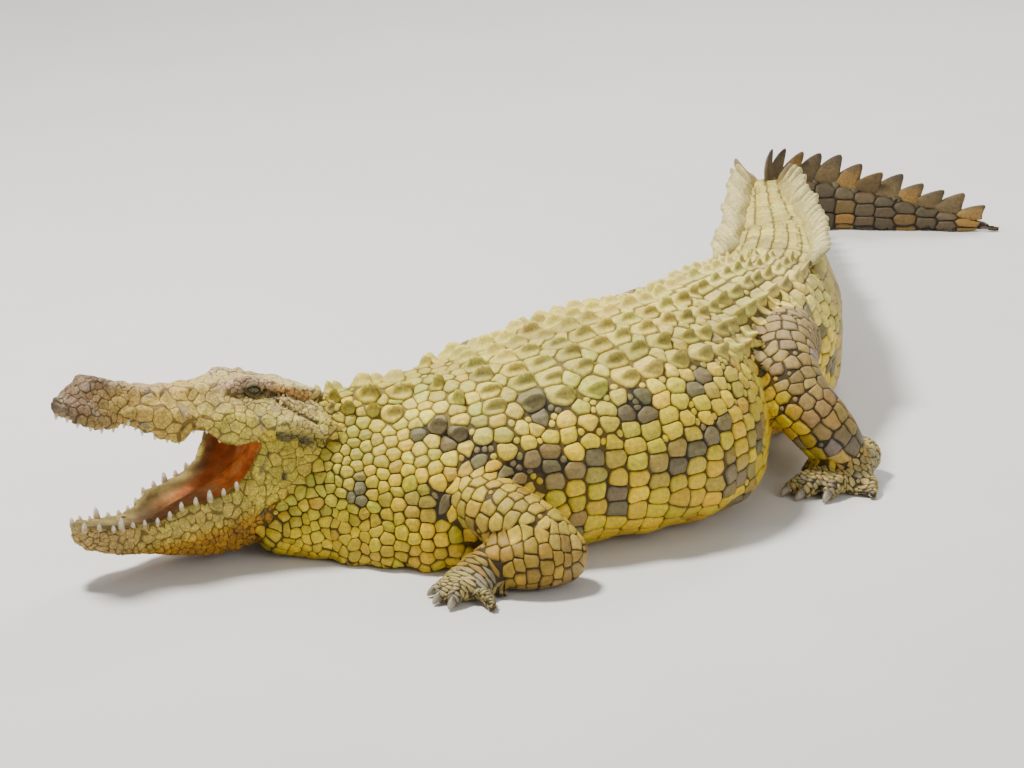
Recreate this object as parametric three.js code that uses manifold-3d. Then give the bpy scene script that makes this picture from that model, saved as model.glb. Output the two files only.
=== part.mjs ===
// Nile crocodile, adult, resting on its belly with the mouth open.
// Units: the tables are in metres, and the finished group is in millimetres, +Z up.
import * as THREE from 'three';
import { mergeVertices } from 'three/addons/utils/BufferGeometryUtils.js';
import Module from 'manifold-3d';

// ---------------------------------------------------------------- driving sizes
const MM = 1000;             // metres to millimetres
const GAP = 0.0003;          // clearance between neighbouring nodes
const AROUND = 20;           // facets around the body
const TOTAL_SPINE = 3.250;   // occiput to tail tip along the back
const GAPE = 21.5;           // opening of the mouth, degrees
const HEAD_YAW = 34, HEAD_PITCH = 12.5, HEAD_ROLL = 4.5;  // head attitude, degrees
const HEAD_ORIGIN = [-0.413, 7.205, 0.310];               // rear middle of the skull table
const JAW_JOINT = [-0.034, 0, -0.107];                    // jaw joint in the head's frame
const NECK_START = [-0.405, 7.152];                       // spine position at the occiput
const EYE = { at: [0.128, 0.056, -0.016], radius: 0.0165 };
const CREST_STEP = 0.058;    // spacing of the tail crest scutes
const CREST_JOIN = 2.57;     // where the two crests become one

// direction of the spine, degrees from +X, at distances from the occiput
const HEADING = [[-0.13, 33], [0, 21], [0.12, 13], [0.25, 13], [0.365, 20], [0.5, 29], [0.625, 36.5],
  [0.865, 52], [1.105, 67.5], [1.345, 80], [1.73, 87], [2.114, 88], [2.45, 87.5], [2.56, 85], [2.64, 68],
  [2.72, 38], [2.80, 10], [2.87, -3], [3.0, -5], [TOTAL_SPINE, -7]];
// half width, top and bottom of the body at distances from the occiput
const WIDTH = [[-0.13, 0.060], [-0.10, 0.098], [-0.05, 0.124], [0.0, 0.142], [0.05, 0.160], [0.1, 0.185], [0.15, 0.212],
  [0.22, 0.240], [0.34, 0.258], [0.48, 0.274], [0.67, 0.303], [0.78, 0.274], [0.865, 0.228], [0.95, 0.190], [1.03, 0.180],
  [1.12, 0.178], [1.3, 0.164], [1.54, 0.142], [1.83, 0.117], [2.11, 0.093], [2.40, 0.068], [2.60, 0.056], [2.79, 0.041],
  [3.0, 0.026], [3.15, 0.016], [TOTAL_SPINE, 0.004]];
const OFFSET = [[0.6, 0], [0.8, -0.014], [0.95, -0.040], [1.05, -0.038], [1.18, -0.016], [1.32, 0]];  // toward the left
const TOP = [[-0.13, 0.10], [-0.10, 0.13], [-0.05, 0.185], [-0.02, 0.262], [0.03, 0.292], [0.1, 0.298], [0.19, 0.305],
  [0.34, 0.335], [0.48, 0.358], [0.67, 0.380], [0.865, 0.382], [1.06, 0.374], [1.25, 0.350], [1.54, 0.311], [1.83, 0.273],
  [2.11, 0.232], [2.40, 0.190], [2.60, 0.160], [2.79, 0.124], [3.0, 0.080], [3.15, 0.044], [TOTAL_SPINE, 0.012]];
const BOTTOM = [[-0.13, 0.045], [-0.10, 0.022], [-0.05, 0.000], [0, -0.012], [0.05, -0.024], [0.1, -0.034], [0.2, -0.040],
  [0.36, -0.034], [0.5, -0.010], [0.8, -0.008], [0.92, 0.006], [1.02, 0.014], [1.15, 0.002], [1.25, -0.008], [TOTAL_SPINE, -0.008]];
const ROUND_TOP = [[-0.13, 2.0], [-0.02, 1.6], [0.1, 1.6], [0.2, 1.85], [0.35, 2.25], [0.68, 2.2], [0.88, 1.85], [1.0, 2.0], [1.2, 2.4], [1.6, 2.9], [2.4, 2.7], [2.7, 2.1], [TOTAL_SPINE, 2]];
const ROUND_LOW = [[-0.13, 2.2], [0.0, 2.8], [0.15, 3.2], [0.4, 2.9], [0.7, 2.6], [1.0, 2.2], [1.3, 2.6], [2.6, 2.6], [TOTAL_SPINE, 2.3]];
const BELT = [[-0.13, 0.42], [-0.02, 0.26], [0.1, 0.25], [0.2, 0.29], [0.35, 0.37], [0.5, 0.38], [0.72, 0.31], [0.92, 0.30], [1.15, 0.42]];  // height of the widest line, as a share of the section

// head, in its own frame: x forward from the occiput, y to the animal's left, z up
const HEAD_HALF = [[-0.036, 0.140], [0.0, 0.139], [0.05, 0.130], [0.12, 0.112], [0.17, 0.095], [0.24, 0.075],
  [0.28, 0.069], [0.315, 0.069], [0.335, 0.067], [0.37, 0.055], [0.40, 0.044], [0.43, 0.048], [0.46, 0.052],
  [0.485, 0.046], [0.503, 0.027], [0.512, 0.006]];
const HEAD_TOP = [[-0.036, -0.012], [0, -0.004], [0.05, 0.0], [0.12, 0.002], [0.165, -0.002], [0.209, -0.010],
  [0.251, -0.017], [0.294, -0.022], [0.337, -0.022], [0.380, -0.018], [0.423, -0.014], [0.454, -0.013],
  [0.479, -0.030], [0.503, -0.052], [0.512, -0.064]];
const HEAD_TABLE = [[-0.036, 0.060], [0, 0.070], [0.05, 0.066], [0.09, 0.058], [0.128, 0.058], [0.165, 0.046],
  [0.209, 0.034], [0.25, 0.034], [0.337, 0.036], [0.40, 0.024], [0.454, 0.026], [0.49, 0.018], [0.512, 0.003]];
const HEAD_EDGE = [[-0.036, -0.098], [0.05, -0.098], [0.112, -0.095], [0.122, -0.103], [0.149, -0.114], [0.177, -0.117],
  [0.211, -0.101], [0.230, -0.091], [0.249, -0.096], [0.272, -0.118], [0.308, -0.114], [0.36, -0.098],
  [0.378, -0.089], [0.391, -0.098], [0.414, -0.106], [0.449, -0.104], [0.489, -0.095], [0.505, -0.078], [0.512, -0.070]];
const HEAD_BELT = [[-0.036, -0.066], [0.05, -0.056], [0.12, -0.062], [0.18, -0.066], [0.25, -0.066], [0.37, -0.062],
  [0.45, -0.066], [0.512, -0.068]];
// lower jaw, in a frame at the jaw joint
const JAW_HALF = [[-0.03, 0.138], [0, 0.137], [0.1, 0.127], [0.2, 0.107], [0.25, 0.098], [0.32, 0.080], [0.37, 0.062],
  [0.40, 0.053], [0.443, 0.052], [0.48, 0.039], [0.50, 0.026], [0.517, 0.006]];
const JAW_TOP = [[-0.03, 0.0], [0, 0.030], [0.10, 0.062], [0.131, 0.066], [0.155, 0.039], [0.181, 0.007], [0.208, -0.009],
  [0.242, -0.016], [0.280, -0.017], [0.312, -0.014], [0.342, -0.026], [0.369, -0.032], [0.407, -0.026],
  [0.451, -0.017], [0.491, -0.002], [0.517, -0.008]];
const JAW_FLOOR = [[-0.03, 0.0], [0.05, 0.045], [0.10, 0.030], [0.14, -0.015], [0.2, -0.042], [0.3, -0.052], [0.36, -0.046],
  [0.42, -0.030], [0.48, -0.014], [0.517, -0.012]];
const JAW_LOW = [[-0.03, -0.046], [0.05, -0.056], [0.099, -0.062], [0.160, -0.068], [0.222, -0.075], [0.300, -0.078],
  [0.356, -0.080], [0.420, -0.074], [0.476, -0.056], [0.50, -0.042], [0.517, -0.022]];
const JAW_POUCH = [[-0.03, 0.030], [0.06, 0.070], [0.16, 0.086], [0.24, 0.076], [0.32, 0.046], [0.38, 0.020], [0.44, 0.006], [0.517, 0]];
const LOWER_TEETH = [0.013, 0.009, 0.009, 0.023, 0.010, 0.010, 0.010, 0.010, 0.011, 0.013, 0.019, 0.012, 0.011];
const UPPER_TEETH = [0.009, 0.010, 0.009, 0.012, 0.010, 0.009];

// limbs: centre line points, each x, y, z, half breadth, half depth
const LIMBS = {
  upper_arm: [[-0.068, 7.032, 0.140, 0.068, 0.062], [-0.022, 6.975, 0.126, 0.066, 0.060], [0.038, 6.938, 0.100, 0.064, 0.060],
    [0.080, 6.922, 0.068, 0.057, 0.057]],
  forearm: [[0.086, 6.921, 0.060, 0.058, 0.057], [0.040, 6.905, 0.060, 0.062, 0.060], [-0.018, 6.900, 0.054, 0.052, 0.050],
    [-0.066, 6.895, 0.040, 0.044, 0.034]],
  palm: [[-0.052, 6.898, 0.038, 0.046, 0.032], [-0.078, 6.872, 0.028, 0.052, 0.025], [-0.100, 6.850, 0.020, 0.046, 0.019]],
  thigh: [[0.540, 7.705, 0.222, 0.088, 0.090], [0.534, 7.610, 0.232, 0.080, 0.082], [0.542, 7.532, 0.208, 0.072, 0.074],
    [0.566, 7.496, 0.170, 0.068, 0.068]],
  shank: [[0.570, 7.494, 0.166, 0.067, 0.067], [0.594, 7.488, 0.142, 0.067, 0.065], [0.622, 7.490, 0.108, 0.070, 0.062],
    [0.650, 7.505, 0.064, 0.066, 0.054]],
  sole: [[0.694, 7.540, 0.042, 0.046, 0.040], [0.664, 7.505, 0.040, 0.064, 0.037], [0.636, 7.462, 0.026, 0.072, 0.024]],
};
const FINGERS = [
  { claw: 0.018, path: [[-0.088, 6.890, 0.026, 0.015, 0.014], [-0.118, 6.876, 0.021, 0.014, 0.014], [-0.140, 6.864, 0.014, 0.011, 0.011]] },
  { claw: 0.021, path: [[-0.094, 6.872, 0.027, 0.017, 0.017], [-0.116, 6.846, 0.025, 0.016, 0.017], [-0.131, 6.828, 0.015, 0.012, 0.012]] },
  { claw: 0.021, path: [[-0.085, 6.858, 0.027, 0.017, 0.017], [-0.099, 6.824, 0.025, 0.016, 0.017], [-0.107, 6.804, 0.015, 0.012, 0.012]] },
  { claw: 0, path: [[-0.066, 6.858, 0.024, 0.016, 0.014], [-0.046, 6.815, 0.019, 0.013, 0.013], [-0.034, 6.782, 0.009, 0.008, 0.008]] },
  { claw: 0, path: [[-0.055, 6.880, 0.022, 0.015, 0.013], [-0.032, 6.862, 0.016, 0.012, 0.012], [-0.012, 6.850, 0.008, 0.007, 0.007]] },
];
const TOES = [
  { claw: 0.026, path: [[0.655, 7.486, 0.028, 0.022, 0.018], [0.586, 7.443, 0.026, 0.018, 0.019], [0.550, 7.418, 0.016, 0.014, 0.014]] },
  { claw: 0.026, path: [[0.655, 7.470, 0.028, 0.022, 0.019], [0.603, 7.422, 0.026, 0.019, 0.020], [0.575, 7.396, 0.016, 0.014, 0.014]] },
  { claw: 0.026, path: [[0.668, 7.466, 0.028, 0.022, 0.019], [0.640, 7.416, 0.026, 0.018, 0.019], [0.623, 7.386, 0.016, 0.013, 0.014]] },
  { claw: 0, path: [[0.692, 7.478, 0.026, 0.022, 0.018], [0.707, 7.430, 0.020, 0.016, 0.015], [0.710, 7.392, 0.009, 0.008, 0.008]] },
];
const WEB = [[0.672, 7.488, 0.015, 0.045, 0.012], [0.642, 7.428, 0.011, 0.062, 0.008]];   // skin between the toes
const FORE_FRAME = 0.33, HIND_FRAME = 1.10;   // spine stations that the limbs are mirrored about
const HIND_OUT = 0.085;      // the right hind leg stands further out, on the inside of the bend

// ---------------------------------------------------------------- colours by node
const COLOURS = {
  head: [0x8d8a5c, 0.62], lower_jaw: [0x9b9248, 0.62], tongue: [0xc77a4e, 0.5], eye: [0x6b6d2c, 0.15],
  neck: [0x9a9145, 0.7], trunk: [0xa39a4b, 0.7], tail: [0x7f7a48, 0.72], limb: [0x857a55, 0.72],
  foot: [0x6f6d52, 0.75], claw: [0x4a4436, 0.4],
};

// ---------------------------------------------------------------- curves and frames
function curve(pairs) {      // smooth curve through the pairs that never overshoots them
  const x = pairs.map((p) => p[0]), y = pairs.map((p) => p[1]), n = x.length, h = [], d = [], m = [];
  for (let i = 0; i < n - 1; i++) { h.push(x[i + 1] - x[i]); d.push((y[i + 1] - y[i]) / h[i]); }
  m[0] = d[0]; m[n - 1] = d[n - 2];
  for (let i = 1; i < n - 1; i++) {
    if (d[i - 1] * d[i] <= 0) m[i] = 0;
    else {
      const a = 2 * h[i] + h[i - 1], b = h[i] + 2 * h[i - 1];
      m[i] = (a + b) / (a / d[i - 1] + b / d[i]);
    }
  }
  return (t) => {
    if (t <= x[0]) return y[0];
    if (t >= x[n - 1]) return y[n - 1];
    let i = 0;
    while (t > x[i + 1]) i++;
    const u = (t - x[i]) / h[i], u2 = u * u, u3 = u2 * u;
    return (2 * u3 - 3 * u2 + 1) * y[i] + (u3 - 2 * u2 + u) * h[i] * m[i] + (-2 * u3 + 3 * u2) * y[i + 1] + (u3 - u2) * h[i] * m[i + 1];
  };
}
const rad = (a) => a * Math.PI / 180;
const V = (x, y, z) => new THREE.Vector3(x, y, z);

const heading = curve(HEADING);
const STEP = 0.005, spine = [];
{
  const back = 28;
  let x = 0, y = 0;
  for (let i = 0; i <= Math.round((TOTAL_SPINE + back * STEP) / STEP); i++) {
    spine.push([x, y]);
    const a = rad(heading((i - back + 0.5) * STEP));
    x += Math.cos(a) * STEP; y += Math.sin(a) * STEP;
  }
  const [x0, y0] = spine[back];
  for (const p of spine) { p[0] += NECK_START[0] - x0; p[1] += NECK_START[1] - y0; }
  spine.back = back;
}
function spineAt(s) {
  const t = Math.min(Math.max(s / STEP + spine.back, 0), spine.length - 1.0001), i = Math.floor(t), u = t - i;
  const a = spine[i], b = spine[i + 1];
  return [a[0] + (b[0] - a[0]) * u, a[1] + (b[1] - a[1]) * u, rad(heading(s))];
}
function fromSpine(s, l, z) {         // l is the distance to the animal's left
  const [x, y, a] = spineAt(s);
  return V(x + l * Math.sin(a), y - l * Math.cos(a), z);
}
const width = curve(WIDTH), offset = curve(OFFSET), top = curve(TOP), bottom = curve(BOTTOM), roundTop = curve(ROUND_TOP), roundLow = curve(ROUND_LOW), belt = curve(BELT);
const power = (v, e) => Math.sign(v) * Math.abs(v) ** e;
function bodyPoint(s, a, share = 1) { // a is 0 at the midline of the back
  const w = width(s) * share, t = top(s), b = bottom(s), mid = b + (t - b) * belt(s);
  const up = Math.cos(a) >= 0, e = 2 / (up ? roundTop(s) : roundLow(s));
  const l = offset(s) * Math.sqrt(share) + w * power(Math.sin(a), e), z = mid + (up ? t - mid : mid - b) * share * power(Math.cos(a), e);
  return fromSpine(s, l, Math.max(z, 0));
}
const headFrame = (() => {
  const y = rad(HEAD_YAW), p = rad(HEAD_PITCH), r = rad(HEAD_ROLL);
  const f = V(-Math.cos(y) * Math.cos(p), -Math.sin(y) * Math.cos(p), Math.sin(p)), l0 = V(Math.sin(y), -Math.cos(y), 0);
  const u0 = f.clone().cross(l0), l = l0.clone().multiplyScalar(Math.cos(r)).addScaledVector(u0, Math.sin(r)), u = f.clone().cross(l);
  return new THREE.Matrix4().makeBasis(f, l, u).setPosition(...HEAD_ORIGIN);
})();
const jawFrame = headFrame.clone().multiply(new THREE.Matrix4().makeTranslation(...JAW_JOINT))
  .multiply(new THREE.Matrix4().makeRotationY(rad(GAPE)));

// ---------------------------------------------------------------- closed solids
function loft(rings) {                // rings of equal length, closed by a point at each end
  const m = rings.length - 1, n = rings[0].length;
  const g = new THREE.CylinderGeometry(1, 1, 1, n, m);
  g.deleteAttribute('normal'); g.deleteAttribute('uv');
  const p = g.attributes.position, mid = rings.map((r) => r.reduce((s, q) => s.add(q), V(0, 0, 0)).multiplyScalar(1 / n));
  for (let i = 0; i < p.count; i++) {
    const row = Math.round((0.5 - p.getY(i)) * m), centre = Math.hypot(p.getX(i), p.getZ(i)) < 0.5;
    const column = ((Math.round(Math.atan2(p.getX(i), p.getZ(i)) / (2 * Math.PI) * n) % n) + n) % n;
    const q = centre ? mid[row] : rings[row][column];
    p.setXYZ(i, q.x, q.y, q.z);
  }
  return outward(mergeVertices(g, 1e-7));
}
function volume(g) {
  const p = g.attributes.position, ix = g.index, a = V(), b = V(), c = V();
  let v = 0;
  for (let i = 0; i < ix.count; i += 3) {
    a.fromBufferAttribute(p, ix.getX(i)); b.fromBufferAttribute(p, ix.getX(i + 1)); c.fromBufferAttribute(p, ix.getX(i + 2));
    v += a.dot(b.cross(c)) / 6;
  }
  return v;
}
function outward(g) {
  if (volume(g) < 0) {
    const ix = g.index;
    for (let i = 0; i < ix.count; i += 3) { const t = ix.getX(i); ix.setX(i, ix.getX(i + 1)); ix.setX(i + 1, t); }
  }
  return g;
}
function grown(g, by) {               // the same solid, swollen along its normals
  const q = g.clone();
  q.computeVertexNormals();
  const p = q.attributes.position, nn = q.attributes.normal;
  for (let i = 0; i < p.count; i++) p.setXYZ(i, p.getX(i) + nn.getX(i) * by, p.getY(i) + nn.getY(i) * by, p.getZ(i) + nn.getZ(i) * by);
  q.deleteAttribute('normal');
  return q;
}
const wasm = await Module();
wasm.setup();
function solid(g) {
  const vertProperties = new Float32Array(g.attributes.position.array), triVerts = new Uint32Array(g.index.array);
  return new wasm.Manifold(new wasm.Mesh({ numProp: 3, vertProperties, triVerts }));
}
function geometry(s) {
  const mesh = s.getMesh(), g = new THREE.BufferGeometry();
  const k = mesh.numProp, count = mesh.vertProperties.length / k, p = new Float32Array(count * 3);
  for (let i = 0; i < count; i++) for (let j = 0; j < 3; j++) p[3 * i + j] = mesh.vertProperties[k * i + j];
  g.setAttribute('position', new THREE.BufferAttribute(p, 3));
  g.setIndex(new THREE.BufferAttribute(new Uint32Array(mesh.triVerts), 1));
  return largest(mergeVertices(g, 1e-6));
}
function largest(g) {                 // drops loose crumbs left by a cut
  const n = g.attributes.position.count, root = Array.from({ length: n }, (_, i) => i), ix = g.index;
  const find = (i) => { while (root[i] !== i) { root[i] = root[root[i]]; i = root[i]; } return i; };
  for (let i = 0; i < ix.count; i += 3) { root[find(ix.getX(i))] = find(ix.getX(i + 1)); root[find(ix.getX(i + 1))] = find(ix.getX(i + 2)); }
  const parts = new Map();
  for (let i = 0; i < ix.count; i += 3) {
    const r = find(ix.getX(i));
    if (!parts.has(r)) parts.set(r, []);
    parts.get(r).push(ix.getX(i), ix.getX(i + 1), ix.getX(i + 2));
  }
  let best = null, most = -1;
  for (const tris of parts.values()) {
    const q = new THREE.BufferGeometry();
    q.setAttribute('position', g.attributes.position.clone()); q.setIndex(tris);
    const v = volume(q);
    if (v > most) { most = v; best = q; }
  }
  const used = new Map(), pos = [], index = [];
  for (const i of best.index.array) {
    if (!used.has(i)) { used.set(i, pos.length / 3); pos.push(g.attributes.position.getX(i), g.attributes.position.getY(i), g.attributes.position.getZ(i)); }
    index.push(used.get(i));
  }
  const out = new THREE.BufferGeometry();
  out.setAttribute('position', new THREE.Float32BufferAttribute(pos, 3)); out.setIndex(index);
  return out;
}
const cut = (g, ...tools) => geometry(tools.reduce((s, t) => s.subtract(solid(grown(t, GAP))), solid(g)));
const join = (...parts) => geometry(parts.slice(1).reduce((s, t) => s.add(solid(t)), solid(parts[0])));

function tube(points, n, m, { start = true, end = true, tip = 1 } = {}) {  // rounded limb along a centre line
  const path = new THREE.CatmullRomCurve3(points.map((p) => V(p[0], p[1], p[2])), false, 'centripetal');
  const u = points.map((_, i) => i / (points.length - 1));
  const breadth = curve(u.map((t, i) => [t, points[i][3]])), depth = curve(u.map((t, i) => [t, points[i][4]]));
  const stations = [];
  if (start) for (const a of [-70, -38]) stations.push([0, a]);
  for (let i = 0; i <= m; i++) stations.push([i / m, 0]);
  if (end) for (const a of [38, 70]) stations.push([1, a]);
  return loft(stations.map(([t, a]) => {
    const c = path.getPoint(t), d = path.getTangent(t), side = d.clone().cross(V(0, 0, 1)).normalize(), up = side.clone().cross(d);
    const k = Math.cos(rad(a)), b = breadth(t), h = depth(t);
    c.addScaledVector(d, Math.sin(rad(a)) * Math.min(b, h) * (a > 0 ? tip : 1));
    return Array.from({ length: n }, (_, i) => {
      const w = 2 * Math.PI * i / n, q = c.clone().addScaledVector(side, Math.sin(w) * b * k).addScaledVector(up, Math.cos(w) * h * k);
      q.z = Math.max(q.z, 0);
      return q;
    });
  }));
}
function mirrored(points, station, turn, out) { // the same limb on the other side of the spine
  const [x, y, a] = spineAt(station), t = V(Math.cos(a), Math.sin(a), 0), n = V(Math.sin(a), -Math.cos(a), 0);
  const ct = Math.cos(rad(turn)), st = Math.sin(rad(turn));
  return points.map((p) => {
    const d = V(p[0] - x, p[1] - y, 0), f = d.dot(t), l = -d.dot(n) - out;
    const f2 = f * ct - l * st, l2 = f * st + l * ct;
    return [x + t.x * f2 + n.x * l2, y + t.y * f2 + n.y * l2, ...p.slice(2)];
  });
}

// ---------------------------------------------------------------- body lengths
function length(s0, s1, rows, { first = false, last = false, around = AROUND } = {}) {
  const a = first ? s0 : s0 + GAP / 2, b = last ? s1 : s1 - GAP / 2;
  return loft(Array.from({ length: rows + 1 }, (_, j) => {
    const s = a + (b - a) * j / rows;
    return Array.from({ length: around }, (_, i) => bodyPoint(s, 2 * Math.PI * i / around));
  }));
}
function scute(s, l, high, long, lean, z0) {   // one upright crest scute, a thin pointed wedge
  const g = new THREE.ConeGeometry(1, 1, 3);
  g.deleteAttribute('normal'); g.deleteAttribute('uv');
  const p = g.attributes.position, root = top(s) - z0;
  for (let i = 0; i < p.count; i++) {
    const tipward = p.getY(i) > 0, along = tipward ? 0.42 : p.getX(i), across = tipward ? 0 : p.getZ(i);
    const q = fromSpine(s + along * long * 0.5, l + across * 0.011 + (tipward ? lean * high : 0), tipward ? top(s) + high : root);
    p.setXYZ(i, q.x, q.y, q.z);
  }
  return outward(mergeVertices(g, 1e-7));
}
const crestGap = curve([[1.25, 0.100], [1.6, 0.088], [2.1, 0.066], [2.4, 0.050], [2.57, 0.036]]);
const crestHigh = curve([[1.25, 0.014], [1.6, 0.030], [2.1, 0.042], [2.48, 0.054], [2.57, 0.062], [2.68, 0.078], [3.0, 0.056], [3.15, 0.038], [TOTAL_SPINE, 0.014]]);
const CREST_AT = [];
for (let s = 1.34; s < TOTAL_SPINE - 0.03; s += CREST_STEP * (s < CREST_JOIN ? 1 : 0.86)) CREST_AT.push(s);
const between = (s) => {              // the gap between two scutes that is nearest to s
  let best = CREST_AT[0] - CREST_STEP / 2;
  for (let i = 0; i < CREST_AT.length - 1; i++) {
    const c = (CREST_AT[i] + CREST_AT[i + 1]) / 2;
    if (Math.abs(c - s) < Math.abs(best - s)) best = c;
  }
  return best;
};
function crests(s0, s1) {
  const out = [];
  for (const s of CREST_AT.filter((c) => c > s0 && c < s1)) {
    const step = CREST_STEP * (s < CREST_JOIN ? 0.98 : 0.84);
    if (s < CREST_JOIN) for (const side of [1, -1]) out.push(scute(s, side * crestGap(s), crestHigh(s), step, side * 0.35, 0.03));
    else out.push(scute(s, 0, crestHigh(s), step, 0, 0.02));
  }
  return out;
}

const nodes = [];
const node = (name, geo, look) => { nodes.push({ name, geo, look }); return geo; };

// head: ring of half the section, mirrored
function mirroredRing(half) {         // half runs from the top middle to the bottom middle
  const ring = half.map(([x, y, z]) => V(x, y, z));
  for (let i = half.length - 2; i > 0; i--) ring.push(V(half[i][0], -half[i][1], half[i][2]));
  return ring;
}
const hHalf = curve(HEAD_HALF), hTop = curve(HEAD_TOP), hTable = curve(HEAD_TABLE), hEdge = curve(HEAD_EDGE), hBelt = curve(HEAD_BELT);
function headRing(x) {
  const w = hHalf(x), t = hTop(x), tb = Math.min(hTable(x), w * 0.8), e = hEdge(x), z = hBelt(x), roof = e + 0.018;
  const drop = t - z;
  return mirroredRing([[x, 0, t], [x, tb * 0.9, t - 0.004], [x, tb + (w - tb) * 0.22, t - drop * 0.40],
    [x, tb + (w - tb) * 0.62, t - drop * 0.70], [x, w, z], [x, w * 0.98, z + (e - z) * 0.6], [x, w * 0.90, e],
    [x, w * 0.62, roof], [x, 0, roof + 0.002]]);
}
const jHalf = curve(JAW_HALF), jTop = curve(JAW_TOP), jFloor = curve(JAW_FLOOR), jLow = curve(JAW_LOW), jPouch = curve(JAW_POUCH);
function jawRing(x) {
  const w = jHalf(x), t = jTop(x), f = Math.min(jFloor(x), t - 0.002), b = jLow(x), z = b + (t - b) * 0.45;
  return mirroredRing([[x, 0, f], [x, w * 0.45, f], [x, w * 0.76, t - (t - f) * 0.2], [x, w * 0.88, t],
    [x, w, z], [x, w * 0.92, b + 0.010], [x, w * 0.74, b - 0.003 - jPouch(x) * 0.35], [x, w * 0.45, b - jPouch(x) * 0.88], [x, 0, b - jPouch(x)]]);
}
const stationsAt = (a, b, n, ease = 1) => Array.from({ length: n + 1 }, (_, i) => a + (b - a) * (i / n) ** ease);
function placed(rings, frame) { return loft(rings.map((r) => r.map((q) => q.clone().applyMatrix4(frame)))); }
function tooth(x, y, z, high, thick, lean, frame) {
  const g = new THREE.ConeGeometry(1, 1, 3);
  g.deleteAttribute('normal'); g.deleteAttribute('uv');
  const p = g.attributes.position, sink = Math.sign(high) * 0.006;
  for (let i = 0; i < p.count; i++) {
    const tip = p.getY(i) > 0;
    const q = V(x + (tip ? 0.002 : p.getX(i) * thick), y + (tip ? lean : p.getZ(i) * thick), tip ? z + high : z - sink).applyMatrix4(frame);
    p.setXYZ(i, q.x, q.y, q.z);
  }
  return outward(mergeVertices(g, 1e-7));
}
const wholeHead = placed(stationsAt(-0.036, 0.512, 15, 0.9).map(headRing), headFrame);
const wholeJaw = placed(stationsAt(-0.03, 0.517, 14, 0.9).map(jawRing), jawFrame);
const eyes = {};
for (const [name, side] of [['eye_left', 1], ['eye_right', -1]]) {
  const g = new THREE.SphereGeometry(EYE.radius, 8, 6);
  g.deleteAttribute('normal'); g.deleteAttribute('uv');
  const c = V(EYE.at[0], side * EYE.at[1], EYE.at[2]).applyMatrix4(headFrame);
  g.translate(c.x, c.y, c.z);
  eyes[name] = outward(mergeVertices(g, 1e-7));
}
let head = cut(wholeHead, eyes.eye_left, eyes.eye_right);
for (const side of [1, -1]) {
  UPPER_TEETH.forEach((high, i) => {
    const x = 0.455 - i * 0.052;
    head = join(head, tooth(x, side * hHalf(x) * 0.84, hEdge(x) + 0.004, -high, 0.0045, side * 0.001, headFrame));
  });
}
let jaw = cut(wholeJaw, wholeHead);
LOWER_TEETH.forEach((high, i) => {
  const x = 0.499 - i * 0.0235 + (i > 2 ? 0.008 : 0) - (i > 8 ? 0.004 * (i - 8) : 0);
  for (const side of [1, -1]) jaw = join(jaw, tooth(x, side * jHalf(x) * 0.88, jTop(x) - 0.001, high, 0.0035 + high * 0.16, side * high * 0.12, jawFrame));
});
// tongue: a low pad fixed along the floor of the mouth
let tongue = placed(stationsAt(0.13, 0.34, 4).map((x) => {
  const k = Math.sqrt(Math.max(0.04, 1 - ((x - 0.235) / 0.118) ** 2)), w = 0.043 * k, z = jFloor(x) - 0.004;
  return Array.from({ length: 6 }, (_, i) => { const a = 2 * Math.PI * i / 6; return V(x, Math.sin(a) * w, z + 0.004 + Math.cos(a) * 0.012 * k); });
}), jawFrame);
tongue = cut(tongue, wholeJaw, wholeHead);

const wholeNeck = length(-0.13, 0.22, 6, { first: true, around: 14 });
const neck = cut(wholeNeck, wholeHead, wholeJaw);
node('head', head, 'head'); node('lower_jaw', jaw, 'lower_jaw'); node('tongue', tongue, 'tongue');
node('eye_left', eyes.eye_left, 'eye'); node('eye_right', eyes.eye_right, 'eye');
node('neck', neck, 'neck');
const chest = node('trunk_shoulder', length(0.22, 0.60, 5), 'trunk');
const middle = node('trunk_middle', length(0.60, 0.94, 5), 'trunk');
const pelvis = node('trunk_hip', length(0.94, between(1.30), 5), 'trunk');
const TAIL = [between(1.30), ...[1.64, 1.98, 2.30, 2.56, 2.76, 2.98].map(between), TOTAL_SPINE];
for (let i = 0; i < TAIL.length - 1; i++) {
  const last = i === TAIL.length - 2;
  node(`tail_${i + 1}`, join(length(TAIL[i], TAIL[i + 1], i < 3 ? 2 : 3, { last, around: 12 }), ...crests(TAIL[i], TAIL[i + 1])), 'tail');
}

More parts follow.
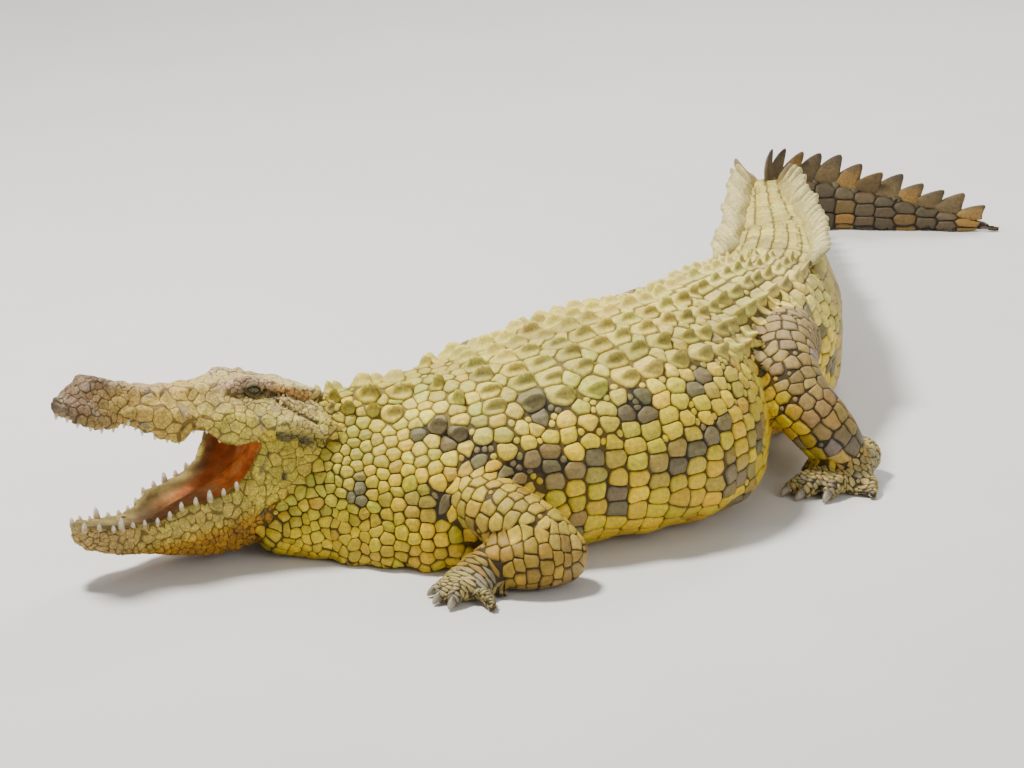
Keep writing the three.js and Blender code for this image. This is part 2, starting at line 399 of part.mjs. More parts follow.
// limbs, left as posed and right mirrored about the spine
for (const [side, flip] of [['left', (p) => p], ['right', null]]) {
  const fore = flip || ((p) => mirrored(p, FORE_FRAME, 6, 0)), hind = flip || ((p) => mirrored(p, HIND_FRAME, 9, HIND_OUT));
  const wholeUpper = tube(fore(LIMBS.upper_arm), 9, 3), wholeFore = tube(fore(LIMBS.forearm), 9, 3);
  const upper = cut(wholeUpper, chest, wholeNeck), fore2 = cut(wholeFore, wholeUpper, chest, wholeNeck);
  let hand = tube(fore(LIMBS.palm), 7, 2, { start: false });
  for (const f of FINGERS) hand = join(hand, tube(fore(f.path), 4, 2, { start: false, end: !f.claw }));
  hand = cut(hand, wholeFore, wholeUpper, chest, wholeNeck);
  node(`upper_arm_${side}`, upper, 'limb'); node(`forearm_${side}`, fore2, 'limb'); node(`hand_${side}`, hand, 'foot');
  const wholeThigh = tube(hind(LIMBS.thigh), 9, 3), wholeShank = tube(hind(LIMBS.shank), 9, 3);
  const thigh = cut(wholeThigh, pelvis, middle, nodes.find((q) => q.name === 'tail_1').geo), shank = cut(wholeShank, wholeThigh, pelvis, middle);
  let foot = tube(hind(LIMBS.sole), 7, 2);
  for (const t of TOES) foot = join(foot, tube(hind(t.path), 4, 2, { start: false, end: !t.claw }));
  foot = join(foot, tube(hind(WEB), 6, 1, { start: false, end: false }));
  foot = cut(foot, wholeShank, wholeThigh, pelvis, middle);
  node(`thigh_${side}`, thigh, 'limb'); node(`shank_${side}`, shank, 'limb'); node(`foot_${side}`, foot, 'foot');
  const claws = (digits, place, name) => digits.forEach((d, i) => {   // each starts just off the flat end of its digit
    if (!d.claw) return;
    const path = new THREE.CatmullRomCurve3(place(d.path).map((v) => V(v[0], v[1], v[2])), false, 'centripetal');
    const q = path.getPoint(1), dir = path.getTangent(1), r = d.path[2][3] * 0.8, flat = dir.clone().setZ(0).normalize();
    const at = (k, z, b) => [q.x + flat.x * k, q.y + flat.y * k, z, b, b];
    const first = q.clone().addScaledVector(dir, GAP), next = q.clone().addScaledVector(dir, GAP + 0.004);
    node(`${name}_${side}_${i + 1}`, tube([[...first, r, r], [...next, r * 0.95, r * 0.95], at(d.claw * 0.6, q.z * 0.62, r * 0.62),
      at(d.claw, 0.0032, 0.0026)], 4, 2, { start: false, end: false }), 'claw');
  });
  claws(FINGERS, fore, 'claw_hand');
  claws(TOES, hind, 'claw_foot');
}

// ---------------------------------------------------------------- scene
const animal = new THREE.Group();
animal.name = 'nile_crocodile';
const box = new THREE.Box3();
for (const q of nodes) box.union(new THREE.Box3().setFromBufferAttribute(q.geo.attributes.position));
const shift = V(-(box.min.x + box.max.x) / 2, -(box.min.y + box.max.y) / 2, -box.min.z);
for (const { name, geo, look } of nodes) {
  const g = geo.clone().translate(shift.x, shift.y, shift.z).scale(MM, MM, MM);
  const [color, roughness] = COLOURS[look];
  const mesh = new THREE.Mesh(g, new THREE.MeshStandardMaterial({ name: look, color, roughness, metalness: 0 }));
  mesh.name = name;
  animal.add(mesh);
}
animal.userData.shift = [shift.x, shift.y, shift.z];
export default animal;
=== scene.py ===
# Nile crocodile, adult, lying on its belly with its mouth open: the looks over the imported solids.
# One skin covers the flesh, scales lie over it as joined meshes, and everything is in metres.
import math
import bpy
import bmesh
import numpy as np
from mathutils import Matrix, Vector
from mathutils.bvhtree import BVHTree
from mathutils.kdtree import KDTree


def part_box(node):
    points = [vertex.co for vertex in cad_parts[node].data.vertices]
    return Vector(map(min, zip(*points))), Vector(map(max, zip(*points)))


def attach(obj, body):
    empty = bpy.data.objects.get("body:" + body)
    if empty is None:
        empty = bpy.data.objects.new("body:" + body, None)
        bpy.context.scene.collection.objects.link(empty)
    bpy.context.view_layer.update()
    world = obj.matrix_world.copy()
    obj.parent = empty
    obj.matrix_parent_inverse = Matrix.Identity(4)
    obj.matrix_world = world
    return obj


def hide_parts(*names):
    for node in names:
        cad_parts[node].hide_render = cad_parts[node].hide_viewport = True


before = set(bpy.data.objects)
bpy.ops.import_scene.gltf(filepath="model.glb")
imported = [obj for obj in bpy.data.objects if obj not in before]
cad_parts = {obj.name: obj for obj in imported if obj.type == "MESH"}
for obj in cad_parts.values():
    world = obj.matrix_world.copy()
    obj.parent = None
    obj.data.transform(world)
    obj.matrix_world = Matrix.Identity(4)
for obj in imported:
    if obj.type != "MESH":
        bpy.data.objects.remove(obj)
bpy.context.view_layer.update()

QUICK = False
rng = np.random.default_rng(11)

# ---------------------------------------------------------------- the driving tables, as in the solids
HEADING = [[-0.13, 33], [0, 21], [0.12, 13], [0.25, 13], [0.365, 20], [0.5, 29], [0.625, 36.5], [0.865, 52], [1.105,
    67.5], [1.345, 80], [1.73, 87], [2.114, 88], [2.45, 87.5], [2.56, 85], [2.64, 68], [2.72, 38], [2.8, 10], [2.87,
    -3], [3.0, -5], [3.25, -7]]
WIDTH = [[-0.13, 0.06], [-0.1, 0.098], [-0.05, 0.124], [0.0, 0.142], [0.05, 0.16], [0.1, 0.185], [0.15, 0.212], [0.22,
    0.24], [0.34, 0.258], [0.48, 0.274], [0.67, 0.303], [0.78, 0.274], [0.865, 0.228], [0.95, 0.19], [1.03, 0.18],
    [1.12, 0.178], [1.3, 0.164], [1.54, 0.142], [1.83, 0.117], [2.11, 0.093], [2.4, 0.068], [2.6, 0.056], [2.79,
    0.041], [3.0, 0.026], [3.15, 0.016], [3.25, 0.004]]
OFFSET = [[0.6, 0], [0.8, -0.014], [0.95, -0.04], [1.05, -0.038], [1.18, -0.016], [1.32, 0]]
TOP = [[-0.13, 0.1], [-0.1, 0.13], [-0.05, 0.185], [-0.02, 0.262], [0.03, 0.292], [0.1, 0.298], [0.19, 0.305], [0.34,
    0.335], [0.48, 0.358], [0.67, 0.38], [0.865, 0.382], [1.06, 0.374], [1.25, 0.35], [1.54, 0.311], [1.83, 0.273],
    [2.11, 0.232], [2.4, 0.19], [2.6, 0.16], [2.79, 0.124], [3.0, 0.08], [3.15, 0.044], [3.25, 0.012]]
BOTTOM = [[-0.13, 0.045], [-0.1, 0.022], [-0.05, 0.0], [0, -0.012], [0.05, -0.024], [0.1, -0.034], [0.2, -0.04],
    [0.36, -0.034], [0.5, -0.01], [0.8, -0.008], [0.92, 0.006], [1.02, 0.014], [1.15, 0.002], [1.25, -0.008], [3.25,
    -0.008]]
ROUND_TOP = [[-0.13, 2.0], [-0.02, 1.6], [0.1, 1.6], [0.2, 1.85], [0.35, 2.25], [0.68, 2.2], [0.88, 1.85], [1.0, 2.0],
    [1.2, 2.4], [1.6, 2.9], [2.4, 2.7], [2.7, 2.1], [3.25, 2]]
ROUND_LOW = [[-0.13, 2.2], [0.0, 2.8], [0.15, 3.2], [0.4, 2.9], [0.7, 2.6], [1.0, 2.2], [1.3, 2.6], [2.6, 2.6], [3.25,
    2.3]]
BELT = [[-0.13, 0.42], [-0.02, 0.26], [0.1, 0.25], [0.2, 0.29], [0.35, 0.37], [0.5, 0.38], [0.72, 0.31], [0.92, 0.3],
    [1.15, 0.42]]
HEAD_HALF = [[-0.036, 0.14], [0.0, 0.139], [0.05, 0.13], [0.12, 0.112], [0.17, 0.095], [0.24, 0.075], [0.28, 0.069],
    [0.315, 0.069], [0.335, 0.067], [0.37, 0.055], [0.4, 0.044], [0.43, 0.048], [0.46, 0.052], [0.485, 0.046], [0.503,
    0.027], [0.512, 0.006]]
HEAD_TOP = [[-0.036, -0.012], [0, -0.004], [0.05, 0.0], [0.12, 0.002], [0.165, -0.002], [0.209, -0.01], [0.251,
    -0.017], [0.294, -0.022], [0.337, -0.022], [0.38, -0.018], [0.423, -0.014], [0.454, -0.013], [0.479, -0.03],
    [0.503, -0.052], [0.512, -0.064]]
HEAD_TABLE = [[-0.036, 0.06], [0, 0.07], [0.05, 0.066], [0.09, 0.058], [0.128, 0.058], [0.165, 0.046], [0.209, 0.034],
    [0.25, 0.034], [0.337, 0.036], [0.4, 0.024], [0.454, 0.026], [0.49, 0.018], [0.512, 0.003]]
HEAD_EDGE = [[-0.036, -0.098], [0.05, -0.098], [0.112, -0.095], [0.122, -0.103], [0.149, -0.114], [0.177, -0.117],
    [0.211, -0.101], [0.23, -0.091], [0.249, -0.096], [0.272, -0.118], [0.308, -0.114], [0.36, -0.098], [0.378,
    -0.089], [0.391, -0.098], [0.414, -0.106], [0.449, -0.104], [0.489, -0.095], [0.505, -0.078], [0.512, -0.07]]
HEAD_BELT = [[-0.036, -0.066], [0.05, -0.056], [0.12, -0.062], [0.18, -0.066], [0.25, -0.066], [0.37, -0.062], [0.45,
    -0.066], [0.512, -0.068]]
JAW_HALF = [[-0.03, 0.138], [0, 0.137], [0.1, 0.127], [0.2, 0.107], [0.25, 0.098], [0.32, 0.08], [0.37, 0.062], [0.4,
    0.053], [0.443, 0.052], [0.48, 0.039], [0.5, 0.026], [0.517, 0.006]]
JAW_TOP = [[-0.03, 0.0], [0, 0.03], [0.1, 0.062], [0.131, 0.066], [0.155, 0.039], [0.181, 0.007], [0.208, -0.009],
    [0.242, -0.016], [0.28, -0.017], [0.312, -0.014], [0.342, -0.026], [0.369, -0.032], [0.407, -0.026], [0.451,
    -0.017], [0.491, -0.002], [0.517, -0.008]]
JAW_FLOOR = [[-0.03, 0.0], [0.05, 0.045], [0.1, 0.03], [0.14, -0.015], [0.2, -0.042], [0.3, -0.052], [0.36, -0.046],
    [0.42, -0.03], [0.48, -0.014], [0.517, -0.012]]
JAW_LOW = [[-0.03, -0.046], [0.05, -0.056], [0.099, -0.062], [0.16, -0.068], [0.222, -0.075], [0.3, -0.078], [0.356,
    -0.08], [0.42, -0.074], [0.476, -0.056], [0.5, -0.042], [0.517, -0.022]]
JAW_POUCH = [[-0.03, 0.03], [0.06, 0.07], [0.16, 0.086], [0.24, 0.076], [0.32, 0.046], [0.38, 0.02], [0.44, 0.006],
    [0.517, 0]]
LOWER_TEETH = [0.013, 0.009, 0.009, 0.023, 0.01, 0.01, 0.01, 0.01, 0.011, 0.013, 0.019, 0.012, 0.011]
UPPER_TEETH = [0.009, 0.01, 0.009, 0.012, 0.01, 0.009]
LIMBS = {"upper_arm": [[-0.068, 7.032, 0.14, 0.068, 0.062], [-0.022, 6.975, 0.126, 0.066, 0.06], [0.038, 6.938, 0.1, 0.064, 0.06], [0.08, 6.922, 0.068, 0.057, 0.057]],
    "forearm": [[0.086, 6.921, 0.06, 0.058, 0.057], [0.04, 6.905, 0.06, 0.062, 0.06], [-0.018, 6.9, 0.054, 0.052, 0.05], [-0.066, 6.895, 0.04, 0.044, 0.034]],
    "palm": [[-0.052, 6.898, 0.038, 0.046, 0.032], [-0.078, 6.872, 0.028, 0.052, 0.025], [-0.1, 6.85, 0.02, 0.046, 0.019]],
    "thigh": [[0.54, 7.705, 0.222, 0.088, 0.09], [0.534, 7.61, 0.232, 0.08, 0.082], [0.542, 7.532, 0.208, 0.072, 0.074], [0.566, 7.496, 0.17, 0.068, 0.068]],
    "shank": [[0.57, 7.494, 0.166, 0.067, 0.067], [0.594, 7.488, 0.142, 0.067, 0.065], [0.622, 7.49, 0.108, 0.07, 0.062], [0.65, 7.505, 0.064, 0.066, 0.054]],
    "sole": [[0.694, 7.54, 0.042, 0.046, 0.04], [0.664, 7.505, 0.04, 0.064, 0.037], [0.636, 7.462, 0.026, 0.072, 0.024]]}
FINGERS = [(0.018, [[-0.088, 6.89, 0.026, 0.015, 0.014], [-0.118, 6.876, 0.021, 0.014, 0.014], [-0.14, 6.864, 0.014, 0.011, 0.011]]),
    (0.021, [[-0.094, 6.872, 0.027, 0.017, 0.017], [-0.116, 6.846, 0.025, 0.016, 0.017], [-0.131, 6.828, 0.015, 0.012, 0.012]]),
    (0.021, [[-0.085, 6.858, 0.027, 0.017, 0.017], [-0.099, 6.824, 0.025, 0.016, 0.017], [-0.107, 6.804, 0.015, 0.012, 0.012]]),
    (0.0, [[-0.066, 6.858, 0.024, 0.016, 0.014], [-0.046, 6.815, 0.019, 0.013, 0.013], [-0.034, 6.782, 0.009, 0.008, 0.008]]),
    (0.0, [[-0.055, 6.88, 0.022, 0.015, 0.013], [-0.032, 6.862, 0.016, 0.012, 0.012], [-0.012, 6.85, 0.008, 0.007, 0.007]])]   # claw length, path
TOES = [(0.026, [[0.655, 7.486, 0.028, 0.022, 0.018], [0.586, 7.443, 0.026, 0.018, 0.019], [0.55, 7.418, 0.016, 0.014, 0.014]]),
    (0.026, [[0.655, 7.47, 0.028, 0.022, 0.019], [0.603, 7.422, 0.026, 0.019, 0.02], [0.575, 7.396, 0.016, 0.014, 0.014]]),
    (0.026, [[0.668, 7.466, 0.028, 0.022, 0.019], [0.64, 7.416, 0.026, 0.018, 0.019], [0.623, 7.386, 0.016, 0.013, 0.014]]),
    (0.0, [[0.692, 7.478, 0.026, 0.022, 0.018], [0.707, 7.43, 0.02, 0.016, 0.015], [0.71, 7.392, 0.009, 0.008, 0.008]])]   # claw length, path
WEB = [[0.672, 7.488, 0.015, 0.045, 0.012], [0.642, 7.428, 0.011, 0.062, 0.008]]
TOTAL_SPINE = 3.250
GAPE = 21.5
HEAD_YAW = 34
HEAD_PITCH = 12.5
HEAD_ROLL = 4.5
HEAD_ORIGIN = [-0.413, 7.205, 0.310]
JAW_JOINT = [-0.034, 0, -0.107]
NECK_START = [-0.405, 7.152]
EYE_AT = (0.128, 0.056, -0.016)
EYE_R = 0.0165
CREST_STEP = 0.058
CREST_JOIN = 2.57
FORE_FRAME, HIND_FRAME, HIND_OUT = 0.33, 1.10, 0.085
CREST_GAP = [[1.25, 0.100], [1.6, 0.088], [2.1, 0.066], [2.4, 0.050], [2.57, 0.036]]
CREST_HIGH = [[1.25, 0.014], [1.6, 0.030], [2.1, 0.042], [2.48, 0.054], [2.57, 0.062], [2.68, 0.078], [3.0, 0.056], [3.15, 0.038], [3.25, 0.014]]

# ---------------------------------------------------------------- curves and frames (metres, animal's own frame)
def curve(pairs):
    x, y = np.array(pairs, float).T
    h = np.diff(x)
    d = np.diff(y) / h
    m = np.zeros(len(x))
    m[0], m[-1] = d[0], d[-1]
    for i in range(1, len(x) - 1):
        if d[i - 1] * d[i] > 0:
            a, b = 2 * h[i] + h[i - 1], h[i] + 2 * h[i - 1]
            m[i] = (a + b) / (a / d[i - 1] + b / d[i])

    def f(t):
        t = np.clip(np.asarray(t, float), x[0], x[-1])
        i = np.clip(np.searchsorted(x, t, side="right") - 1, 0, len(h) - 1)
        u = (t - x[i]) / h[i]
        u2, u3 = u * u, u * u * u
        return ((2 * u3 - 3 * u2 + 1) * y[i] + (u3 - 2 * u2 + u) * h[i] * m[i]
                + (-2 * u3 + 3 * u2) * y[i + 1] + (u3 - u2) * h[i] * m[i + 1])
    return f


def smooth(t, a, b):
    u = np.clip((np.asarray(t, float) - a) / (b - a), 0, 1)
    return u * u * (3 - 2 * u)


def unit(v):
    return v / np.maximum(np.linalg.norm(v, axis=-1, keepdims=True), 1e-12)


heading, width, offset, top = curve(HEADING), curve(WIDTH), curve(OFFSET), curve(TOP)
bottom, round_top, round_low, belt = curve(BOTTOM), curve(ROUND_TOP), curve(ROUND_LOW), curve(BELT)
SPINE_STEP, BACK = 0.005, 28
_n = int(round((TOTAL_SPINE + BACK * SPINE_STEP) / SPINE_STEP)) + 1
_a = np.radians(heading((np.arange(_n) - BACK + 0.5) * SPINE_STEP))
SPINE = np.zeros((_n, 2))
SPINE[1:, 0] = np.cumsum(np.cos(_a))[:-1] * SPINE_STEP
SPINE[1:, 1] = np.cumsum(np.sin(_a))[:-1] * SPINE_STEP
SPINE += np.array(NECK_START) - SPINE[BACK]
SPINE_S = (np.arange(_n) - BACK) * SPINE_STEP


def from_spine(s, l, z):
    a = np.radians(heading(s))
    x, y = np.interp(s, SPINE_S, SPINE[:, 0]), np.interp(s, SPINE_S, SPINE[:, 1])
    return np.stack(np.broadcast_arrays(x + l * np.sin(a), y - l * np.cos(a), z), -1)


def power(v, e):
    return np.sign(v) * np.abs(v) ** e


def body_mid(s):
    b, t = bottom(s), top(s)
    return b + (t - b) * belt(s)


def body_point(s, a):
    s, a = np.broadcast_arrays(np.asarray(s, float), np.asarray(a, float))
    w, t, b, mid = width(s), top(s), bottom(s), body_mid(s)
    up = np.cos(a) >= 0
    e = 2 / np.where(up, round_top(s), round_low(s))
    l = offset(s) + w * power(np.sin(a), e)
    z = mid + np.where(up, t - mid, mid - b) * power(np.cos(a), e)
    return from_spine(s, l, np.maximum(z, 0))


def head_axes():
    y, p, r = np.radians([HEAD_YAW, HEAD_PITCH, HEAD_ROLL])
    f = np.array([-np.cos(y) * np.cos(p), -np.sin(y) * np.cos(p), np.sin(p)])
    l0 = np.array([np.sin(y), -np.cos(y), 0.0])
    u0 = np.cross(f, l0)
    l = l0 * np.cos(r) + u0 * np.sin(r)
    return np.stack([f, l, np.cross(f, l)], 1)


HEAD_M, HEAD_O = head_axes(), np.array(HEAD_ORIGIN)
_g = np.radians(GAPE)
JAW_M = HEAD_M @ np.array([[np.cos(_g), 0, np.sin(_g)], [0, 1, 0], [-np.sin(_g), 0, np.cos(_g)]])
JAW_O = HEAD_O + HEAD_M @ np.array(JAW_JOINT)


def head_out(q):
    return np.asarray(q) @ HEAD_M.T + HEAD_O


def head_in(p):
    return (np.asarray(p) - HEAD_O) @ HEAD_M


def jaw_out(q):
    return np.asarray(q) @ JAW_M.T + JAW_O


def jaw_in(p):
    return (np.asarray(p) - JAW_O) @ JAW_M


h_half, h_top, h_table, h_edge, h_belt = (curve(t) for t in (HEAD_HALF, HEAD_TOP, HEAD_TABLE, HEAD_EDGE, HEAD_BELT))
j_half, j_top, j_floor, j_low, j_pouch = (curve(t) for t in (JAW_HALF, JAW_TOP, JAW_FLOOR, JAW_LOW, JAW_POUCH))


def head_control(x):                  # half section from the top middle to the roof of the mouth
    w, t = h_half(x), h_top(x)
    tb, e, z = np.minimum(h_table(x), w * 0.8), h_edge(x), h_belt(x)
    roof, drop, o = e + 0.018, h_top(x) - h_belt(x), 0 * x
    yz = [(o, t), (tb * 0.9, t - 0.004), (tb + (w - tb) * 0.22, t - drop * 0.40), (tb + (w - tb) * 0.62, t - drop * 0.70),
          (w, z), (w * 0.98, z + (e - z) * 0.6), (w * 0.90, e), (w * 0.62, roof), (o, roof + 0.002)]
    return np.stack([np.stack([x, y, zz], -1) for y, zz in yz], -2)


def jaw_control(x):
    w, t, b, p, o = j_half(x), j_top(x), j_low(x), j_pouch(x), 0 * x
    f = np.minimum(j_floor(x), t - 0.002)
    z = b + (t - b) * 0.45
    yz = [(o, f), (w * 0.45, f), (w * 0.76, t - (t - f) * 0.2), (w * 0.88, t), (w, z), (w * 0.92, b + 0.010),
          (w * 0.74, b - 0.003 - p * 0.35), (w * 0.45, b - p * 0.88), (o, b - p)]
    return np.stack([np.stack([x, y, zz], -1) for y, zz in yz], -2)


def closed_section(half, n):          # mirrored, then smoothed to n points; the ring position runs 0..16
    ring = np.concatenate([half, (half[..., -2:0:-1, :] * np.array([1, -1, 1]))], -2)
    k = ring.shape[-2]
    t = np.arange(n) * k / n
    i = np.floor(t).astype(int)
    u = (t - i)[:, None]
    p0, p1, p2, p3 = (ring[..., (i + j) % k, :] for j in (-1, 0, 1, 2))
    m1, m2 = (p2 - p0) * 0.42, (p3 - p1) * 0.42
    return ((2 * u**3 - 3 * u**2 + 1) * p1 + (u**3 - 2 * u**2 + u) * m1 + (-2 * u**3 + 3 * u**2) * p2 + (u**3 - u**2) * m2), t


def centripetal(points):
    p = np.array(points, float)[:, :3]
    ext = np.vstack([2 * p[0] - p[1], p, 2 * p[-1] - p[-2]])

    def f(t):
        t = np.atleast_1d(np.asarray(t, float)) * (len(p) - 1)
        out = np.zeros((len(t), 3))
        for k, v in enumerate(t):
            i = min(int(v), len(p) - 2)
            u = v - i
            a, b, c, d = ext[i], ext[i + 1], ext[i + 2], ext[i + 3]
            d0, d1, d2 = (max(np.sum((q - r) ** 2) ** 0.25, 1e-4) for q, r in ((b, a), (c, b), (d, c)))
            t1 = ((b - a) / d0 - (c - a) / (d0 + d1) + (c - b) / d1) * d1
            t2 = ((c - b) / d1 - (d - b) / (d1 + d2) + (d - c) / d2) * d1
            out[k] = b + t1 * u + (-3 * b + 3 * c - 2 * t1 - t2) * u * u + (2 * b - 2 * c + t1 + t2) * u**3
        return out
    return f


def tube_frame(points):
    path = centripetal(points)
    u = np.linspace(0, 1, len(points))
    breadth, depth = curve(list(zip(u, [p[3] for p in points]))), curve(list(zip(u, [p[4] for p in points])))

    def at(t):
        t = np.atleast_1d(np.asarray(t, float))
        c = path(np.clip(t, 0, 1))
        d = unit(path(np.clip(t + 1e-3, 0, 1)) - path(np.clip(t - 1e-3, 0, 1)))
        side = unit(np.cross(d, [0, 0, 1.0]))
        return c, d, side, np.cross(side, d), breadth(t), depth(t)
    return at


def tube_rings(points, n, m, start=True, end=True):
    at = tube_frame(points)
    st = ([(0, a) for a in (-80, -60, -40, -20)] if start else []) + [(i / m, 0) for i in range(m + 1)] \
        + ([(1, a) for a in (20, 40, 60, 80)] if end else [])
    t, a = np.array(st, float).T
    c, d, side, up, b, h = at(t)
    k = np.cos(np.radians(a))
    c = c + d * (np.sin(np.radians(a)) * np.minimum(b, h))[:, None]
    w = np.arange(n) * 2 * np.pi / n
    p = c[:, None] + side[:, None] * (np.sin(w)[None, :, None] * (b * k)[:, None, None]) \
        + up[:, None] * (np.cos(w)[None, :, None] * (h * k)[:, None, None])
    p[..., 2] = np.maximum(p[..., 2], 0)
    return p, t + np.sin(np.radians(a)) * 0.08, w


def mirrored(points, station, turn, out):   # the same limb on the other side of the spine
    a = math.radians(float(heading(station)))
    o = from_spine(station, 0.0, 0.0)[:2]
    t, n = np.array([math.cos(a), math.sin(a)]), np.array([math.sin(a), -math.cos(a)])
    ct, st = math.cos(math.radians(turn)), math.sin(math.radians(turn))
    res = []
    for p in points:
        d = np.array(p[:2]) - o
        f, l = d @ t, -(d @ n) - out
        q = o + t * (f * ct - l * st) + n * (f * st + l * ct)
        res.append([q[0], q[1], *p[2:]])
    return res


SIDES = {"left": (lambda p: p, lambda p: p),
         "right": (lambda p: mirrored(p, FORE_FRAME, 6, 0), lambda p: mirrored(p, HIND_FRAME, 9, HIND_OUT))}
crest_gap, crest_high = curve(CREST_GAP), curve(CREST_HIGH)
CREST_AT = [1.34]
while CREST_AT[-1] < TOTAL_SPINE - 0.03:
    CREST_AT.append(CREST_AT[-1] + CREST_STEP * (1 if CREST_AT[-1] < CREST_JOIN else 0.86))
CREST_AT = [c for c in CREST_AT if c < TOTAL_SPINE - 0.03]

# ---------------------------------------------------------------- the animal's frame in the row's frame
_lo, _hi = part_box("eye_left")
_mid = (np.array(_lo) + np.array(_hi)) / 2
SHIFT = _mid - head_out(np.array([EYE_AT[0], EYE_AT[1], EYE_AT[2]]))
SHIFT[2] = 0.0

# ---------------------------------------------------------------- closed solids that the skin is drawn over
PARTS, lofts = [], []
lab_pos, lab_part, lab_u, lab_v, lab_q = [], [], [], [], []


def add_loft(name, P, u, v, q=None):
    m, n = P.shape[:2]
    i, j = np.meshgrid(np.arange(m - 1), np.arange(n), indexing="ij")
    a, b = i * n + j, i * n + (j + 1) % n
    quads = np.stack([a, b, b + n, a + n], -1).reshape(-1, 4)
    j = np.arange(n)
    cap0 = np.stack([(j + 1) % n, j, np.full(n, m * n)], -1)
    cap1 = np.stack([(m - 1) * n + j, (m - 1) * n + (j + 1) % n, np.full(n, m * n + 1)], -1)
    V = np.vstack([P.reshape(-1, 3), P[0].mean(0), P[-1].mean(0)])
    PARTS.append(name)
    lofts.append((V, quads, np.vstack([cap0, cap1])))
    lab_pos.append(P.reshape(-1, 3))
    lab_part.append(np.full(m * n, len(PARTS) - 1))
    lab_u.append(np.repeat(np.broadcast_to(u, m), n))
    lab_v.append(np.tile(v, m))
    lab_q.append((np.zeros((m, n)) if q is None else q).reshape(-1))


def arc_share(P, a):                  # signed share of the half girth from the midline of the back
    d = np.linalg.norm(np.diff(P, axis=1, append=P[:, :1]), axis=-1)
    n = P.shape[1]
    c = np.concatenate([np.zeros((len(P), 1)), np.cumsum(d, 1)[:, :-1]], 1)
    L = d.sum(1, keepdims=True)
    q = c / L * 2
    return np.where(q > 1, q - 2, q)


BS = np.linspace(-0.13, TOTAL_SPINE, 420)
BA = np.arange(120) * 2 * np.pi / 120
BP = body_point(BS[:, None], BA[None, :])
add_loft("body", BP, BS, BA, arc_share(BP, BA))
hx = -0.036 + 0.548 * (np.linspace(0, 1, 120) ** 0.9)
P, t16 = closed_section(head_control(hx), 96)
add_loft("head", head_out(P), hx, t16)
jx = -0.03 + 0.547 * (np.linspace(0, 1, 120) ** 0.9)
P, t16 = closed_section(jaw_control(jx), 96)
add_loft("jaw", jaw_out(P), jx, t16)
tx = np.linspace(0.12, 0.345, 30)
tk = np.sqrt(np.maximum(0.02, 1 - ((tx - 0.2325) / 0.118) ** 2))
ta = np.arange(32) * 2 * np.pi / 32
tw, tz = 0.047 * tk, j_floor(tx) - 0.004
P = np.stack(np.broadcast_arrays(tx[:, None], tw[:, None] * np.sin(ta), tz[:, None] + 0.004 + np.cos(ta) * (0.014 * tk)[:, None]
             - 0.004 * np.exp(-(np.sin(ta) / 0.25) ** 2) * (np.cos(ta) > 0)), -1)
add_loft("tongue", jaw_out(P), tx, ta)
TUBES = {}
for side, (fore, hind) in SIDES.items():
    for name, pts, n, m in [("upper_arm", fore(LIMBS["upper_arm"]), 40, 22), ("forearm", fore(LIMBS["forearm"]), 40, 22),
                            ("palm", fore(LIMBS["palm"]), 32, 12), ("thigh", hind(LIMBS["thigh"]), 44, 24),
                            ("shank", hind(LIMBS["shank"]), 40, 22), ("sole", hind(LIMBS["sole"]), 32, 12)]:
        P, tt, w = tube_rings(pts, n, m)
        TUBES[f"{name}_{side}"] = pts
        add_loft(f"{name}_{side}", P, tt, w)
    for kind, digits, place in (("finger", FINGERS, fore), ("toe", TOES, hind)):
        for k, (claw, path) in enumerate(digits):
            pts = place(path)
            P, tt, w = tube_rings(pts, 24, 14, start=False)
            TUBES[f"{kind}{k}_{side}"] = pts
            add_loft(f"{kind}{k}_{side}", P, tt, w)
    P, tt, w = tube_rings(hind(WEB), 24, 6)
    TUBES[f"web_{side}"] = hind(WEB)
    add_loft(f"web_{side}", P, tt, w)
PART = {n: i for i, n in enumerate(PARTS)}
lab_pos, lab_part = np.vstack(lab_pos), np.concatenate(lab_part)
lab_u, lab_v, lab_q = np.concatenate(lab_u), np.concatenate(lab_v), np.concatenate(lab_q)

label_tree = KDTree(len(lab_pos))
for k, p in enumerate(lab_pos.tolist()):
    label_tree.insert(p, k)
label_tree.balance()


def label(P):
    find = label_tree.find
    return np.fromiter((find(p)[1] for p in P.tolist()), int, len(P))


def mesh_arrays(me):
    n = len(me.vertices)
    co = np.empty(n * 3)
    me.vertices.foreach_get("co", co)
    e = np.empty(len(me.edges) * 2, np.int64)
    me.edges.foreach_get("vertices", e)
    return co.reshape(-1, 3), e.reshape(-1, 2)


def relax(co, e, share, times, where=None):
    n = len(co)
    deg = np.maximum(np.bincount(e.ravel(), minlength=n), 1)[:, None]
    for _ in range(times):
        for k in share:
            s = np.stack([np.bincount(e[:, 0], co[e[:, 1], c], n) + np.bincount(e[:, 1], co[e[:, 0], c], n) for c in range(3)], 1) / deg
            step = (s - co) * k
            co = co + (step if where is None else step * where[:, None])
    return co


def vertex_normals(co, tris):
    n = np.cross(co[tris[:, 1]] - co[tris[:, 0]], co[tris[:, 2]] - co[tris[:, 0]])
    out = np.stack([sum(np.bincount(tris[:, k], n[:, c], len(co)) for k in range(3)) for c in range(3)], 1)
    return unit(out)


def triangles(me):
    me.calc_loop_triangles()
    t = np.empty(len(me.loop_triangles) * 3, np.int64)
    me.loop_triangles.foreach_get("vertices", t)
    p = np.empty(len(me.loop_triangles), np.int64)
    me.loop_triangles.foreach_get("polygon_index", p)
    return t.reshape(-1, 3), p


